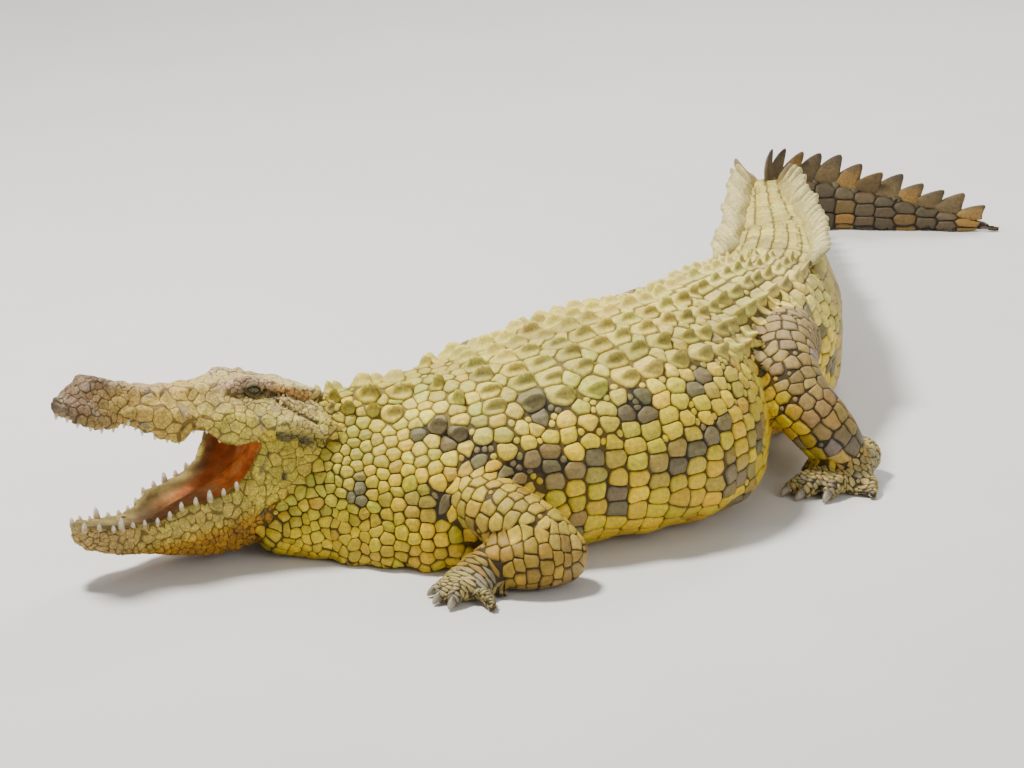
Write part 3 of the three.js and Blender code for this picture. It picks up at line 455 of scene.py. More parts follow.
base, all_v, all_f = 0, [], []
for V, quads, caps in lofts:
    all_v.append(V)
    all_f += (quads + base).tolist() + (caps + base).tolist()
    base += len(V)
raw = bpy.data.meshes.new("skin_raw")
raw.from_pydata(np.vstack(all_v).tolist(), [], all_f)
raw_ob = bpy.data.objects.new("skin_raw", raw)
bpy.context.scene.collection.objects.link(raw_ob)
mod = raw_ob.modifiers.new("union", "REMESH")
mod.mode, mod.voxel_size, mod.adaptivity = "VOXEL", 0.0062, 0.0
skin_me = bpy.data.meshes.new_from_object(raw_ob.evaluated_get(bpy.context.evaluated_depsgraph_get()))
bpy.data.objects.remove(raw_ob)
co, e = mesh_arrays(skin_me)
co = relax(co, e, (0.5, -0.52), 6)
skin_me.vertices.foreach_set("co", co.ravel())

# finer where the detail is: head, jaws and feet
lab = label(co)
fine_parts = np.array([n in ("head", "jaw", "tongue") or n.startswith(("palm", "sole", "finger", "toe")) for n in PARTS])
fine = fine_parts[lab_part[lab]]
bm = bmesh.new()
bm.from_mesh(skin_me)
bm.verts.ensure_lookup_table()
edges = {ed for f in bm.faces if all(fine[v.index] for v in f.verts) for ed in f.edges}
bmesh.ops.subdivide_edges(bm, edges=list(edges), cuts=1, use_grid_fill=True)
bm.to_mesh(skin_me)
bm.free()
co, e = mesh_arrays(skin_me)
lab = label(co)
fine = fine_parts[lab_part[lab]].astype(float)
co = relax(co, e, (0.5, -0.5), 3, fine)
tris, tri_poly = triangles(skin_me)
nrm = vertex_normals(co, tris)
part = lab_part[lab]
is_head, is_jaw = part == PART["head"], part == PART["jaw"]
t_ring = lab_v[lab]
mouth = (is_head & (t_ring > 6.35) & (t_ring < 9.65)) | (is_jaw & ((t_ring < 2.7) | (t_ring > 13.3))) | (part == PART["tongue"])

# ---------------------------------------------------------------- skin depth and the head's relief
DEPTH = np.where(is_head | is_jaw, 0.0016, 0.0042)
feet = np.array([n.startswith(("palm", "sole", "finger", "toe", "web")) for n in PARTS])[part]
DEPTH = np.where(feet, 0.0016, DEPTH)
DEPTH = np.where(mouth, 0.0, DEPTH)
_w = rng.normal(size=(40, 3))


def lumps(P, size, seed):             # smooth noise from summed waves, about -1..1
    r = np.random.default_rng(seed)
    k = unit(r.normal(size=(18, 3))) * (2 * np.pi / size) * r.uniform(0.7, 1.4, (18, 1))
    ph = r.uniform(0, 2 * np.pi, 18)
    out = np.zeros(len(P))
    for a, b in zip(k, ph):
        out += np.sin(P @ a + b)
    return out / 4.0


def g3(q, c, s, a):
    return a * np.exp(-0.5 * (((q - np.array(c)) / np.array(s)) ** 2).sum(-1))


def line_gap(m, a, b):                # distance from points to the line from a to b
    a, b = np.array(a), np.array(b)
    t = np.clip(((m - a) @ (b - a)) / np.sum((b - a) ** 2), 0, 1)
    return np.linalg.norm(m - (a + t[:, None] * (b - a)), axis=1)


# the folds of the head's side, each as points, half width and height
HEAD_LINES = {
    "flap": ([(0.090, 0.066, -0.0095), (0.060, 0.071, -0.0131), (0.035, 0.0735, -0.0166), (0.0125, 0.0750, -0.0195)], 0.0068, 0.0075),
    "groove": ([(0.1016, 0.062, -0.0150), (0.0711, 0.0690, -0.0185), (0.0467, 0.0780, -0.0235), (0.0220, 0.0870, -0.0280), (0.0090, 0.0998, -0.0375)], 0.0040, -0.0085),
    "swell": ([(0.0885, 0.0700, -0.0220), (0.0649, 0.0800, -0.0280), (0.0425, 0.0920, -0.0345), (0.0214, 0.1080, -0.0420)], 0.0068, 0.0060),
    "crease": ([(0.1060, 0.062, -0.0180), (0.0860, 0.0740, -0.0270), (0.0718, 0.0920, -0.0361), (0.0566, 0.1100, -0.0463), (0.0393, 0.1210, -0.0534), (0.0232, 0.1320, -0.0617)], 0.0044, -0.0080),
    "bar": ([(0.1050, 0.1040, -0.0750), (0.0900, 0.1160, -0.0655), (0.0704, 0.1220, -0.0625), (0.0408, 0.1300, -0.0683), (0.0106, 0.1370, -0.0756), (-0.0139, 0.1380, -0.0846)], 0.0090, 0.0085),
    "hollow": ([(0.1040, 0.1060, -0.0930), (0.0669, 0.1120, -0.0925), (0.0347, 0.1180, -0.0960), (-0.0021, 0.1260, -0.0990)], 0.0105, -0.0075),
    "brow": ([(0.1640, 0.0520, -0.0080), (0.1344, 0.0565, 0.0006), (0.1089, 0.0593, -0.0010), (0.0900, 0.0621, -0.0034)], 0.0070, 0.0060)}


def fold_gap(m, name):                # the side's width counts for less, as the folds lie on a steep face
    k = np.array([1.0, 0.40, 1.0])
    P_ = [np.array(p_) * k for p_ in HEAD_LINES[name][0]]
    return np.min([line_gap(m * k, a_, b_) for a_, b_ in zip(P_[:-1], P_[1:])], axis=0)


def head_relief(q):                   # q in the head's frame
    x, y, z = q[:, 0], np.abs(q[:, 1]), q[:, 2]
    m = np.stack([x, y, z], 1)
    d = g3(m, (0.126, 0.048, 0.002), (0.024, 0.009, 0.009), 0.0060) + g3(m, (0.160, 0.040, -0.006), (0.018, 0.009, 0.010), 0.0040)
    d += g3(m, (0.160, 0.058, -0.026), (0.016, 0.014, 0.012), -0.0050) + g3(m, (0.118, 0.078, -0.042), (0.030, 0.012, 0.010), 0.0035)
    d += g3(m, (0.135, 0.0, 0.002), (0.042, 0.018, 0.02), -0.0065) + g3(m, (0.128, 0.062, -0.018), (0.014, 0.010, 0.010), -0.0045)
    tb = h_table(x)
    win = smooth(x, -0.04, -0.01) * (1 - smooth(x, 0.085, 0.110))
    d += 0.0060 * np.exp(-((y - tb + 0.002) / 0.008) ** 2) * win * (z > -0.022)
    d += -0.0110 * np.exp(-((y - tb - 0.010) / 0.0065) ** 2) * np.exp(-((z + 0.020) / 0.012) ** 2) * win
    for n_ in HEAD_LINES:
        d += HEAD_LINES[n_][2] * np.exp(-(fold_gap(m, n_) / HEAD_LINES[n_][1]) ** 2) * smooth(y, 0.030, 0.045)
    d += g3(m, (0.448, 0.0, -0.012), (0.022, 0.026, 0.012), 0.0065) + g3(m, (0.446, 0.0100, -0.010), (0.0075, 0.0036, 0.02), -0.0130)
    d += g3(m, (0.458, 0.0, -0.008), (0.014, 0.0025, 0.01), -0.0030) + g3(m, (0.4214, 0.0093, -0.014), (0.0035, 0.0035, 0.02), -0.0070)
    d += g3(m, (0.285, 0.070, -0.085), (0.020, 0.018, 0.026), 0.0060) + g3(m, (0.195, 0.088, -0.080), (0.020, 0.018, 0.024), 0.0042)
    d += g3(m, (0.372, 0.045, -0.062), (0.012, 0.020, 0.030), -0.0050) + g3(m, (0.238, 0.075, -0.080), (0.010, 0.020, 0.030), -0.0035)
    d += g3(m, (0.175, 0.050, -0.018), (0.030, 0.008, 0.007), 0.0040) * (1 + 0.5 * np.sin(x * 420))
    d += g3(m, (0.145, 0.050, -0.002), (0.022, 0.007, 0.008), 0.0035)
    d += 0.0032 * np.exp(-((y - 0.034 - 0.05 * (0.20 - x)) / 0.006) ** 2) * smooth(x, 0.15, 0.17) * (1 - smooth(x, 0.25, 0.29)) * (z > -0.04)
    d += g3(m, (0.205, 0.0, -0.006), (0.026, 0.012, 0.012), 0.0040) + g3(m, (0.395, 0.0, -0.016), (0.03, 0.02, 0.02), -0.0020)
    for k in range(len(UPPER_TEETH) * 2):
        tx_ = 0.470 - k * 0.026
        d += g3(m, (tx_, float(h_half(tx_)) * 0.95, float(h_edge(tx_)) + 0.014), (0.0085, 0.012, 0.010), 0.0036)
    return d


def jaw_relief(q):
    x, y, z = q[:, 0], np.abs(q[:, 1]), q[:, 2]
    m = np.stack([x, y, z], 1)
    d = 0 * x
    for k, h in enumerate(LOWER_TEETH):
        tx_ = 0.499 - 0.0235 * k + (0.008 if k > 2 else 0) - (0.004 * (k - 8) if k > 8 else 0)
        d += g3(m, (tx_, float(j_half(tx_)) * 0.95, float(j_top(tx_)) - 0.010), (0.008, 0.010, 0.009), 0.0024 + h * 0.10)
    d += -0.0040 * np.exp(-((z - j_low(x) - 0.006 + 0.012 * (x < 0.2)) / 0.006) ** 2) * smooth(x, 0.10, 0.16) * (1 - smooth(x, 0.36, 0.42)) * (y > 0.4 * j_half(x))
    return d


hq, jq = head_in(co), jaw_in(co)
relief = np.zeros(len(co))
outer = ~mouth
relief[is_head & outer] = head_relief(hq[is_head & outer])
relief[is_jaw & outer] = jaw_relief(jq[is_jaw & outer])
knob = lumps(co, 0.030, 3) * 0.0016 + lumps(co, 0.012, 4) * 0.0006
relief += np.where((is_head | is_jaw) & outer, knob, 0)
fold = np.where(mouth, 0.0016 * np.sin(jq[:, 1] * 260 + 3 * np.sin(jq[:, 0] * 30)) * np.where(is_jaw, 1, 0.6), 0)
relief += fold
s_lab, q_lab = lab_u[lab], lab_q[lab]
is_body = part == PART["body"]
# low folds of the hide: round the neck and shoulder, and between the rows of the flank
creases = 0.0035 * np.sin((s_lab + 0.05 * np.sin(q_lab * 6)) * 2 * np.pi / 0.075) * (1 - smooth(s_lab, 0.20, 0.36)) * smooth(np.abs(q_lab), 0.15, 0.4)
relief += np.where(is_body, creases + 0.0030 * lumps(co, 0.11, 5), 0)
co = co + nrm * (relief - DEPTH)[:, None]
co[:, 2] = np.maximum(co[:, 2], 0.0022)
co = relax(co, e, (0.35,), 1)
co[:, 2] = np.maximum(co[:, 2], 0.0022)
nrm = vertex_normals(co, tris)
skin_me.vertices.foreach_set("co", co.ravel())
bvh = BVHTree.FromPolygons(co.tolist(), tris.tolist())

# ---------------------------------------------------------------- unwrap of the skin's own shape
CHART = {"body": (0.005, 0.005, 0.99, 0.44), "head": (0.008, 0.458, 0.295, 0.275), "jaw": (0.318, 0.458, 0.295, 0.275)}
_big = [n for n in PARTS if n.startswith(("upper_arm", "forearm", "palm", "thigh", "shank", "sole"))]
for k, n in enumerate(_big):
    CHART[n] = (0.628 + 0.124 * (k % 3), 0.458 + 0.134 * (k // 3), 0.112, 0.122)
_small = [n for n in PARTS if n not in CHART]
for k, n in enumerate(_small):
    CHART[n] = (0.008 + 0.0755 * (k % 8), 0.748 + 0.062 * (k // 8), 0.066, 0.052)
TUBE_AT = {n: tube_frame(p) for n, p in TUBES.items()}


def chart_angle_length(P, pt, u):     # position along and angle round the part that each point belongs to
    along, ang = np.zeros(len(P)), np.zeros(len(P))
    for k in np.unique(pt):
        w = pt == k
        n, Q = PARTS[k], P[w]
        if n == "body":
            s = np.clip(u[w], -0.13, TOTAL_SPINE)
            a = np.radians(heading(s))
            o = from_spine(s, 0 * s, 0 * s)
            d = Q - o
            s2 = s + d[:, 0] * np.cos(a) + d[:, 1] * np.sin(a)
            l = d[:, 0] * np.sin(a) - d[:, 1] * np.cos(a) - offset(s)
            along[w], ang[w] = (s2 + 0.13) / (TOTAL_SPINE + 0.13), np.arctan2(l, Q[:, 2] - body_mid(s))
        elif n == "head":
            q = head_in(Q)
            along[w], ang[w] = (q[:, 0] + 0.04) / 0.56, np.arctan2(q[:, 1], q[:, 2] - h_belt(q[:, 0]))
        elif n in ("jaw", "tongue"):
            q = jaw_in(Q)
            b, t = j_low(q[:, 0]), j_top(q[:, 0])
            along[w], ang[w] = (q[:, 0] + 0.04) / 0.57, np.arctan2(q[:, 1], q[:, 2] - np.minimum(b + (t - b) * 0.3, j_floor(q[:, 0]) - 0.006))
        else:
            t0 = np.clip(u[w], 0, 1)
            tt = np.linspace(0, 1, 41)
            c, dd, side, up, _, _ = TUBE_AT[n](tt)
            i = np.clip(np.round(t0 * 40).astype(int), 0, 40)
            d = Q - c[i]
            L = np.linalg.norm(np.diff(c, axis=0), axis=1).sum()
            along[w] = (t0 + (d * dd[i]).sum(1) / L + 0.6) / 2.2
            ang[w] = np.arctan2((d * side[i]).sum(1), (d * up[i]).sum(1))
    return along, ang


def chart_uv(pt, along, ang):
    box = np.array([CHART[n] for n in PARTS])[pt]
    return np.stack([box[:, 0] + box[:, 2] * np.clip(along, 0, 1), box[:, 1] + box[:, 3] * (ang / (2 * np.pi) * 0.96 + 0.5)], -1)


# ---------------------------------------------------------------- markings, shared by skin and scales
BLOTCH = [(0.225, 0.235, 0.030), (0.262, 0.281, 0.028), (0.234, 0.451, 0.036), (0.379, 0.40, 0.030), (0.412, 0.422, 0.034),
          (0.464, 0.438, 0.030), (0.494, 0.545, 0.034), (0.614, 0.470, 0.036), (0.659, 0.435, 0.034), (0.699, 0.558, 0.044),
          (0.549, 0.329, 0.036), (0.409, 0.260, 0.034), (0.339, 0.396, 0.026), (0.684, 0.308, 0.040), (0.299, 0.349, 0.028),
          (1.153, 0.376, 0.034), (1.028, 0.408, 0.036), (0.09, 0.412, 0.026), (0.80, 0.50, 0.036), (0.57, 0.50, 0.026),
          (1.24, 0.55, 0.036), (0.75, 0.66, 0.040), (0.42, 0.60, 0.030)]
_r = np.random.default_rng(5)
BLOTCH_FAR = [(s + _r.uniform(-0.03, 0.03), -min(0.9, q + _r.uniform(-0.05, 0.08)), r * _r.uniform(0.8, 1.15)) for s, q, r in BLOTCH]
LEG_BLOTCH = [(0.620, 7.432, 0.114, 0.030), (0.674, 7.445, 0.108, 0.026), (0.704, 7.480, 0.112, 0.026)]
HALF_GIRTH = curve([[-0.13, 0.30], [0.0, 0.46], [0.2, 0.62], [0.4, 0.72], [0.67, 0.78], [0.95, 0.60], [1.2, 0.55], [1.6, 0.46],
                    [2.1, 0.34], [2.5, 0.24], [2.8, 0.16], [3.25, 0.03]])
C = lambda *v: np.array(v, float)
mix = lambda a, b, t: a + (b - a) * np.asarray(t)[:, None]


def marking(P, pt, u, v, q):
    """Hide colour at points P; pt is the part, u and v its own coordinates, v is not used; q the share of the half
    girth.
    """
    n = len(P)
    col = np.zeros((n, 3))
    f1, f2, f3 = lumps(P, 0.16, 21), lumps(P, 0.055, 22), lumps(P, 0.35, 23)
    aq = np.abs(q)
    body = pt == PART["body"]
    # trunk and neck
    back, flank, low = C(0.58, 0.490, 0.185), C(0.55, 0.420, 0.095), C(0.55, 0.370, 0.045)
    c = mix(np.tile(back, (n, 1)), flank, smooth(aq + 0.03 * f1, 0.22, 0.42))
    c = mix(c, low, smooth(aq + 0.04 * f1, 0.48, 0.72))
    hip = C(0.60, 0.515, 0.235)
    c = mix(c, hip, smooth(u, 0.75, 1.15) * (1 - smooth(aq, 0.25, 0.55)))
    neck = C(0.44, 0.370, 0.135)
    c = mix(c, neck, (1 - smooth(u, 0.04, 0.26)) * (1 - smooth(aq, 0.5, 0.75)) * 0.8)
    c = mix(c, C(0.46, 0.335, 0.045), (1 - smooth(u, 0.10, 0.35)) * smooth(aq, 0.42, 0.66))
    c = c * (1 + 0.12 * smooth(aq, 0.18, 0.28) * (1 - smooth(aq, 0.38, 0.50)))[:, None] * (1 + 0.16 * smooth(u, 0.85, 1.05) * (1 - smooth(u, 1.25, 1.40)))[:, None]
    c = c * mix(np.tile(C(1.03, 1.03, 0.80), (n, 1)), C(1.0, 1.0, 0.62), 1 - smooth(u, 0.10, 0.35))
    # tail: pale above at its base, dark with brown bands toward its end
    tail_top, tail_side = C(0.56, 0.475, 0.150), C(0.42, 0.32, 0.11)
    ct = mix(np.tile(tail_top, (n, 1)), tail_side, smooth(aq, 0.22, 0.40))
    band = smooth(np.sin(u * 2 * np.pi / 0.232 + 0.8 * f1) + 0.35 * f2, 0.1, 0.75)
    ct = mix(ct, ct * 0.30, band * smooth(aq, 0.2, 0.36) * 0.85 * smooth(u, 1.35, 1.6))
    end = smooth(u + 0.02 * f1, 2.50, 2.72)
    dark_end = mix(np.tile(C(0.078, 0.058, 0.032), (n, 1)), C(0.21, 0.130, 0.038), smooth(np.sin(u * 2 * np.pi / 0.150 + 1.0) + 0.5 * f2, 0.35, 0.9) * (aq > 0.25))
    ct = mix(ct, dark_end, end)
    c = mix(c, ct, smooth(u, 1.22, 1.36))
    # dark blotches
    dark = np.zeros(n)
    hg = HALF_GIRTH(u)
    for s0, q0, r0 in BLOTCH + BLOTCH_FAR:
        d = np.hypot(u - s0, (q - q0) * hg)
        dark = np.maximum(dark, 1 - smooth(d + 0.010 * f2, r0 * 0.55, r0 * 1.15))
    speck = smooth(lumps(P, 0.090, 31) + 0.5 * f2, 1.15, 1.6) * smooth(aq, 0.15, 0.3) * (1 - smooth(aq, 0.75, 0.9)) * smooth(u, 0.05, 0.3)
    dark = np.maximum(dark, speck * 0.75)
    c = mix(c, C(0.105, 0.092, 0.072), dark * 0.86 * (u < 2.3))
    c *= (1 + 0.10 * f1 + 0.07 * f2 + 0.05 * f3)[:, None]
    col[body] = c[body]
    # head and lower jaw
    hd = pt == PART["head"]
    if hd.any():
        qh = head_in(P[hd])
        x, y, z = qh[:, 0], np.abs(qh[:, 1]), qh[:, 2]
        m = len(x)
        pt3 = np.stack([x, y, z], 1)
        h = mix(np.tile(C(0.51, 0.405, 0.165), (m, 1)), C(0.52, 0.430, 0.115), smooth(-z, 0.02, 0.07) * (1 - smooth(x, 0.20, 0.30)))
        h = mix(h, C(0.55, 0.395, 0.115), smooth(x, 0.18, 0.28))
        h = mix(h, C(0.44, 0.330, 0.185), smooth(x, 0.22, 0.34) * smooth(z, -0.045, -0.015))
        h = mix(h, C(0.200, 0.130, 0.075), smooth(x + 0.022 * f2[hd] + 0.25 * (z + 0.05), 0.310, 0.500))
        h = mix(h, C(0.60, 0.42, 0.31), g3(pt3, (0.158, 0.046, -0.008), (0.036, 0.012, 0.010), 0.85))
        h = mix(h, C(0.36, 0.25, 0.07), g3(pt3, (0.372, 0.045, -0.062), (0.016, 0.03, 0.03), 0.6))
        h = mix(h, C(0.30, 0.24, 0.16), smooth(lumps(P[hd], 0.055, 95), 0.9, 1.5) * 0.6)
        h = mix(h, C(0.130, 0.100, 0.040), g3(np.stack([x, y, z], 1), (0.130, 0.062, -0.020), (0.024, 0.020, 0.014), 1.0) * 0.80)
        h = mix(h, C(0.55, 0.47, 0.24), (1 - smooth(x, 0.03, 0.10)) * smooth(z, -0.03, 0.0))
        fold = lambda n_, w_: np.exp(-(fold_gap(pt3, n_) / w_) ** 2) * smooth(y, 0.030, 0.045)
        h = mix(h, C(0.66, 0.54, 0.24), fold("bar", 0.0105) * 0.75)
        h = mix(h, C(0.56, 0.43, 0.22), fold("swell", 0.0070) * 0.6)
        h = mix(h, C(0.62, 0.45, 0.32), fold("brow", 0.0085) * 0.80)
        # painted shade in the hollow under the jaw hinge, where the head's lower edge overhangs the cheek
        h = mix(h, C(0.100, 0.090, 0.058), fold("hollow", 0.0130) * 0.88 * smooth(x, 0.008, 0.030))
        # the nostril pits painted near black for the shade inside the openings
        h = mix(h, C(0.012, 0.010, 0.008), g3(pt3, (0.446, 0.0100, -0.010), (0.0085, 0.0045, 0.03), 1.0) + g3(pt3, (0.4214, 0.0093, -0.014), (0.004, 0.004, 0.03), 1.0))
        h = mix(h, C(0.66, 0.36, 0.15), fold("flap", 0.0080) * 0.90 * (1 - smooth(x, 0.080, 0.100)))
        # painted shade in the slit under the ear flap and along the crease
        h = mix(h, C(0.045, 0.036, 0.020), np.maximum(fold("groove", 0.0038), fold("crease", 0.0042)) * 0.95)
        h *= (1 + 0.12 * f2[hd] + 0.06 * f1[hd])[:, None]
        col[hd] = h
    jw = (pt == PART["jaw"]) | (pt == PART["tongue"])
    if jw.any():
        qj = jaw_in(P[jw])
        x, y, z = qj[:, 0], np.abs(qj[:, 1]), qj[:, 2]
        m = len(x)
        h = mix(np.tile(C(0.52, 0.425, 0.095), (m, 1)), C(0.44, 0.345, 0.100), smooth(x, 0.14, 0.26))
        h = mix(h, C(0.38, 0.270, 0.100), smooth(x, 0.36, 0.44))
        under = 1 - smooth(z - j_low(x), -0.020, 0.016)
        h = mix(h, C(0.38, 0.205, 0.020), under * (1 - smooth(x, 0.40, 0.48)))
        spot = smooth(lumps(P[jw], 0.050, 41), 1.2, 1.6)
        h = mix(h, C(0.08, 0.07, 0.05), spot * 0.7)
        h *= (1 + 0.12 * f2[jw] + 0.06 * f1[jw])[:, None]
        col[jw] = h
    limb = ~(body | hd | jw)
    if limb.any():
        names = np.array([0 if n_.startswith(("upper_arm", "forearm")) else 1 if n_.startswith(("thigh", "shank")) else 2 for n_ in PARTS])[pt[limb]]
        m = limb.sum()
        f1l, f2l = f1[limb], f2[limb]
        fore = np.array([n_.startswith("forearm") for n_ in PARTS])[pt[limb]]
        arm = mix(np.tile(C(0.46, 0.345, 0.080), (m, 1)), C(0.30, 0.235, 0.105), smooth(0.55 - P[limb][:, 2] * 6 + 0.2 * f1l, 0.0, 0.6))
        arm = arm * mix(np.ones((m, 3)), C(0.70, 0.62, 0.58), fore.astype(float))
        leg = mix(np.tile(C(0.310, 0.228, 0.098), (m, 1)), C(0.325, 0.222, 0.072), smooth(0.25 - P[limb][:, 2], 0.0, 0.12))
        inner = np.zeros(m)               # the front edge of the hind leg is yellow
        for n_ in ("thigh_left", "shank_left", "thigh_right", "shank_right"):
            w = pt[limb] == PART[n_]
            if w.any():
                c_ = TUBE_AT[n_](np.clip(u[limb][w], 0, 1))[0]
                inner[w] = unit(P[limb][w] - c_) @ unit(C(-0.80 if "left" in n_ else 0.80, -0.30, -0.52))
        leg = mix(leg, C(0.54, 0.395, 0.035), smooth(inner + 0.10 * f2l, 0.30, 0.70) * (1 - smooth(P[limb][:, 2], 0.22, 0.27)))
        for b_ in LEG_BLOTCH:
            dl = np.linalg.norm((P[limb] - C(*b_[:3])) * C(1, 1, 1), axis=1)
            leg = mix(leg, C(0.095, 0.085, 0.070), (1 - smooth(dl + 0.006 * f2l, b_[3] * 0.6, b_[3] * 1.15)) * 0.85)
        patch = smooth(lumps(P[limb], 0.085, 51), 0.9, 1.4)
        leg = mix(leg, C(0.17, 0.148, 0.130), patch * 0.75)
        foot = mix(np.tile(C(0.37, 0.300, 0.130), (m, 1)), C(0.20, 0.170, 0.110), smooth(f2l, 0.1, 0.9))
        h = np.where((names == 0)[:, None], arm, np.where((names == 1)[:, None], leg, foot))
        h *= (1 + 0.10 * f1l + 0.10 * f2l)[:, None]
        col[limb] = h
    grey = (col @ C(0.2126, 0.7152, 0.0722))[:, None]
    return np.clip(grey + (col - grey) * 1.18, 0.004, 0.9)

# ---------------------------------------------------------------- the skin piece
def lin_attr(me, name, rgb):
    a = me.color_attributes.new(name, "FLOAT_COLOR", "POINT")
    a.data.foreach_set("color", np.column_stack([rgb, np.ones(len(rgb))]).astype(np.float32).ravel())


def face_uv(co, tris3, pt_v, u_v):
    """UV of each triangle corner on the chart of the triangle's own part."""
    pf = pt_v[tris3[:, 0]]
    out = np.zeros((len(tris3), 3, 2))
    P = co[tris3.ravel()]
    along, ang = chart_angle_length(P, np.repeat(pf, 3), u_v[tris3[:, [0, 0, 0]].ravel()])
    ang = ang.reshape(-1, 3)
    ang = ang - 2 * np.pi * np.round((ang - ang[:, :1]) / (2 * np.pi))
    return chart_uv(np.repeat(pf, 3), along, ang.ravel()).reshape(-1, 3, 2)


def build(name, V, F, attrs=None, uv=None, mats=(), mat_index=None, smooth_faces=True):
    me = bpy.data.meshes.new(name)
    F = np.asarray(F, np.int32)
    me.vertices.add(len(V))
    me.vertices.foreach_set("co", (np.asarray(V) + SHIFT).astype(np.float32).ravel())
    me.loops.add(F.size)
    me.loops.foreach_set("vertex_index", F.ravel())
    me.polygons.add(len(F))
    me.polygons.foreach_set("loop_start", np.arange(len(F), dtype=np.int32) * F.shape[1])
    if smooth_faces:
        me.polygons.foreach_set("use_smooth", np.ones(len(F), bool))
    for m in mats:
        me.materials.append(m)
    if mat_index is not None:
        me.polygons.foreach_set("material_index", np.asarray(mat_index, np.int32))
    me.update(calc_edges=True)
    for k, a in (attrs or {}).items():
        if a.ndim == 2:
            lin_attr(me, k, a)
        else:
            at = me.attributes.new(k, "FLOAT", "POINT")
            at.data.foreach_set("value", np.asarray(a, np.float32))
    if uv is not None:
        layer = me.uv_layers.new(name="OFBake")
        layer.data.foreach_set("uv", np.clip(uv, 0.0005, 0.9995).astype(np.float32).ravel())
    ob = bpy.data.objects.new(name, me)
    bpy.context.scene.collection.objects.link(ob)
    return ob


u_lab, v_lab = lab_u[lab], lab_v[lab]
skin_col = marking(co, part, u_lab, v_lab, q_lab)
# painted shade in the grooves between scales, darker on the flanks and belly than on the back, even on the head
under = np.where(is_body, smooth(np.abs(q_lab), 0.14, 0.34), 1.0)
under = np.where(is_body, under, np.where(is_head | is_jaw, 0.62, 1.0))
groove = skin_col * mix(np.tile(C(0.29, 0.25, 0.18), (len(co), 1)), C(0.14, 0.118, 0.095), under)   # darker between the scales
groove = np.where((is_head | is_jaw)[:, None], skin_col * C(0.34, 0.30, 0.24), groove)
mouth_f = mouth.astype(float)
for _ in range(2):
    s = np.bincount(e[:, 0], mouth_f[e[:, 1]], len(co)) + np.bincount(e[:, 1], mouth_f[e[:, 0]], len(co))
    mouth_f = 0.5 * mouth_f + 0.5 * s / np.maximum(np.bincount(e.ravel(), minlength=len(co)), 1)
m1, m2 = lumps(co, 0.060, 61), lumps(co, 0.018, 62)
lining = mix(np.tile(C(0.82, 0.31, 0.065), (len(co), 1)), C(0.88, 0.43, 0.14), smooth(m1 + 0.4 * m2, 0.1, 1.2))
lining = mix(lining, C(0.42, 0.11, 0.035), smooth(-m1 + 0.3 * m2, 0.4, 1.3) * 0.70)
# painted shade on the far inner wall of the lower jaw
lining = mix(lining, C(0.32, 0.095, 0.035), np.where(is_jaw, smooth(-jq[:, 1], 0.01, 0.06) * smooth(jq[:, 0], 0.02, 0.10) * (1 - smooth(jq[:, 0], 0.22, 0.32)) * 0.8, 0))
# the front of the mouth floor, the tongue and the palate darken: partly their olive colour, partly painted shade in the
# trough
front = np.where(is_jaw, smooth(jq[:, 0], 0.22, 0.34), smooth(hq[:, 0], 0.24, 0.36))
front = np.where(part == PART["tongue"], 0.78 * smooth(jq[:, 0], 0.16, 0.26), front)
lining = mix(lining, C(0.105, 0.080, 0.042), front * 0.92)
lining = mix(lining, C(0.17, 0.125, 0.085), np.where(is_head, smooth(hq[:, 0], 0.41, 0.45), 0) * 0.95)
wall = np.where(is_jaw, smooth(np.abs(jq[:, 1]) - 0.62 * j_half(jq[:, 0]), -0.004, 0.008), 0)
lining = mix(lining, C(0.155, 0.125, 0.045), wall * smooth(jq[:, 0], 0.10, 0.20) * 0.85)
rim = np.where(is_jaw, smooth(jq[:, 2] - j_top(jq[:, 0]), -0.014, -0.006) * smooth(jq[:, 0], 0.06, 0.12), 0)
lining = mix(lining, C(0.25, 0.200, 0.070), rim * 0.90)
skin_rgb = mix(groove, lining, mouth_f)
skin_wet = mouth_f

# ---------------------------------------------------------------- materials
def material(name):
    m = bpy.data.materials.new(name)
    m.use_nodes = True
    nt = m.node_tree
    return m, nt, nt.nodes["Principled BSDF"]


def nd(nt, kind, **kw):
    n = nt.nodes.new(kind)
    for k, v in kw.items():
        if k in n.inputs.keys():
            n.inputs[k].default_value = v
        else:
            setattr(n, k, v)
    return n


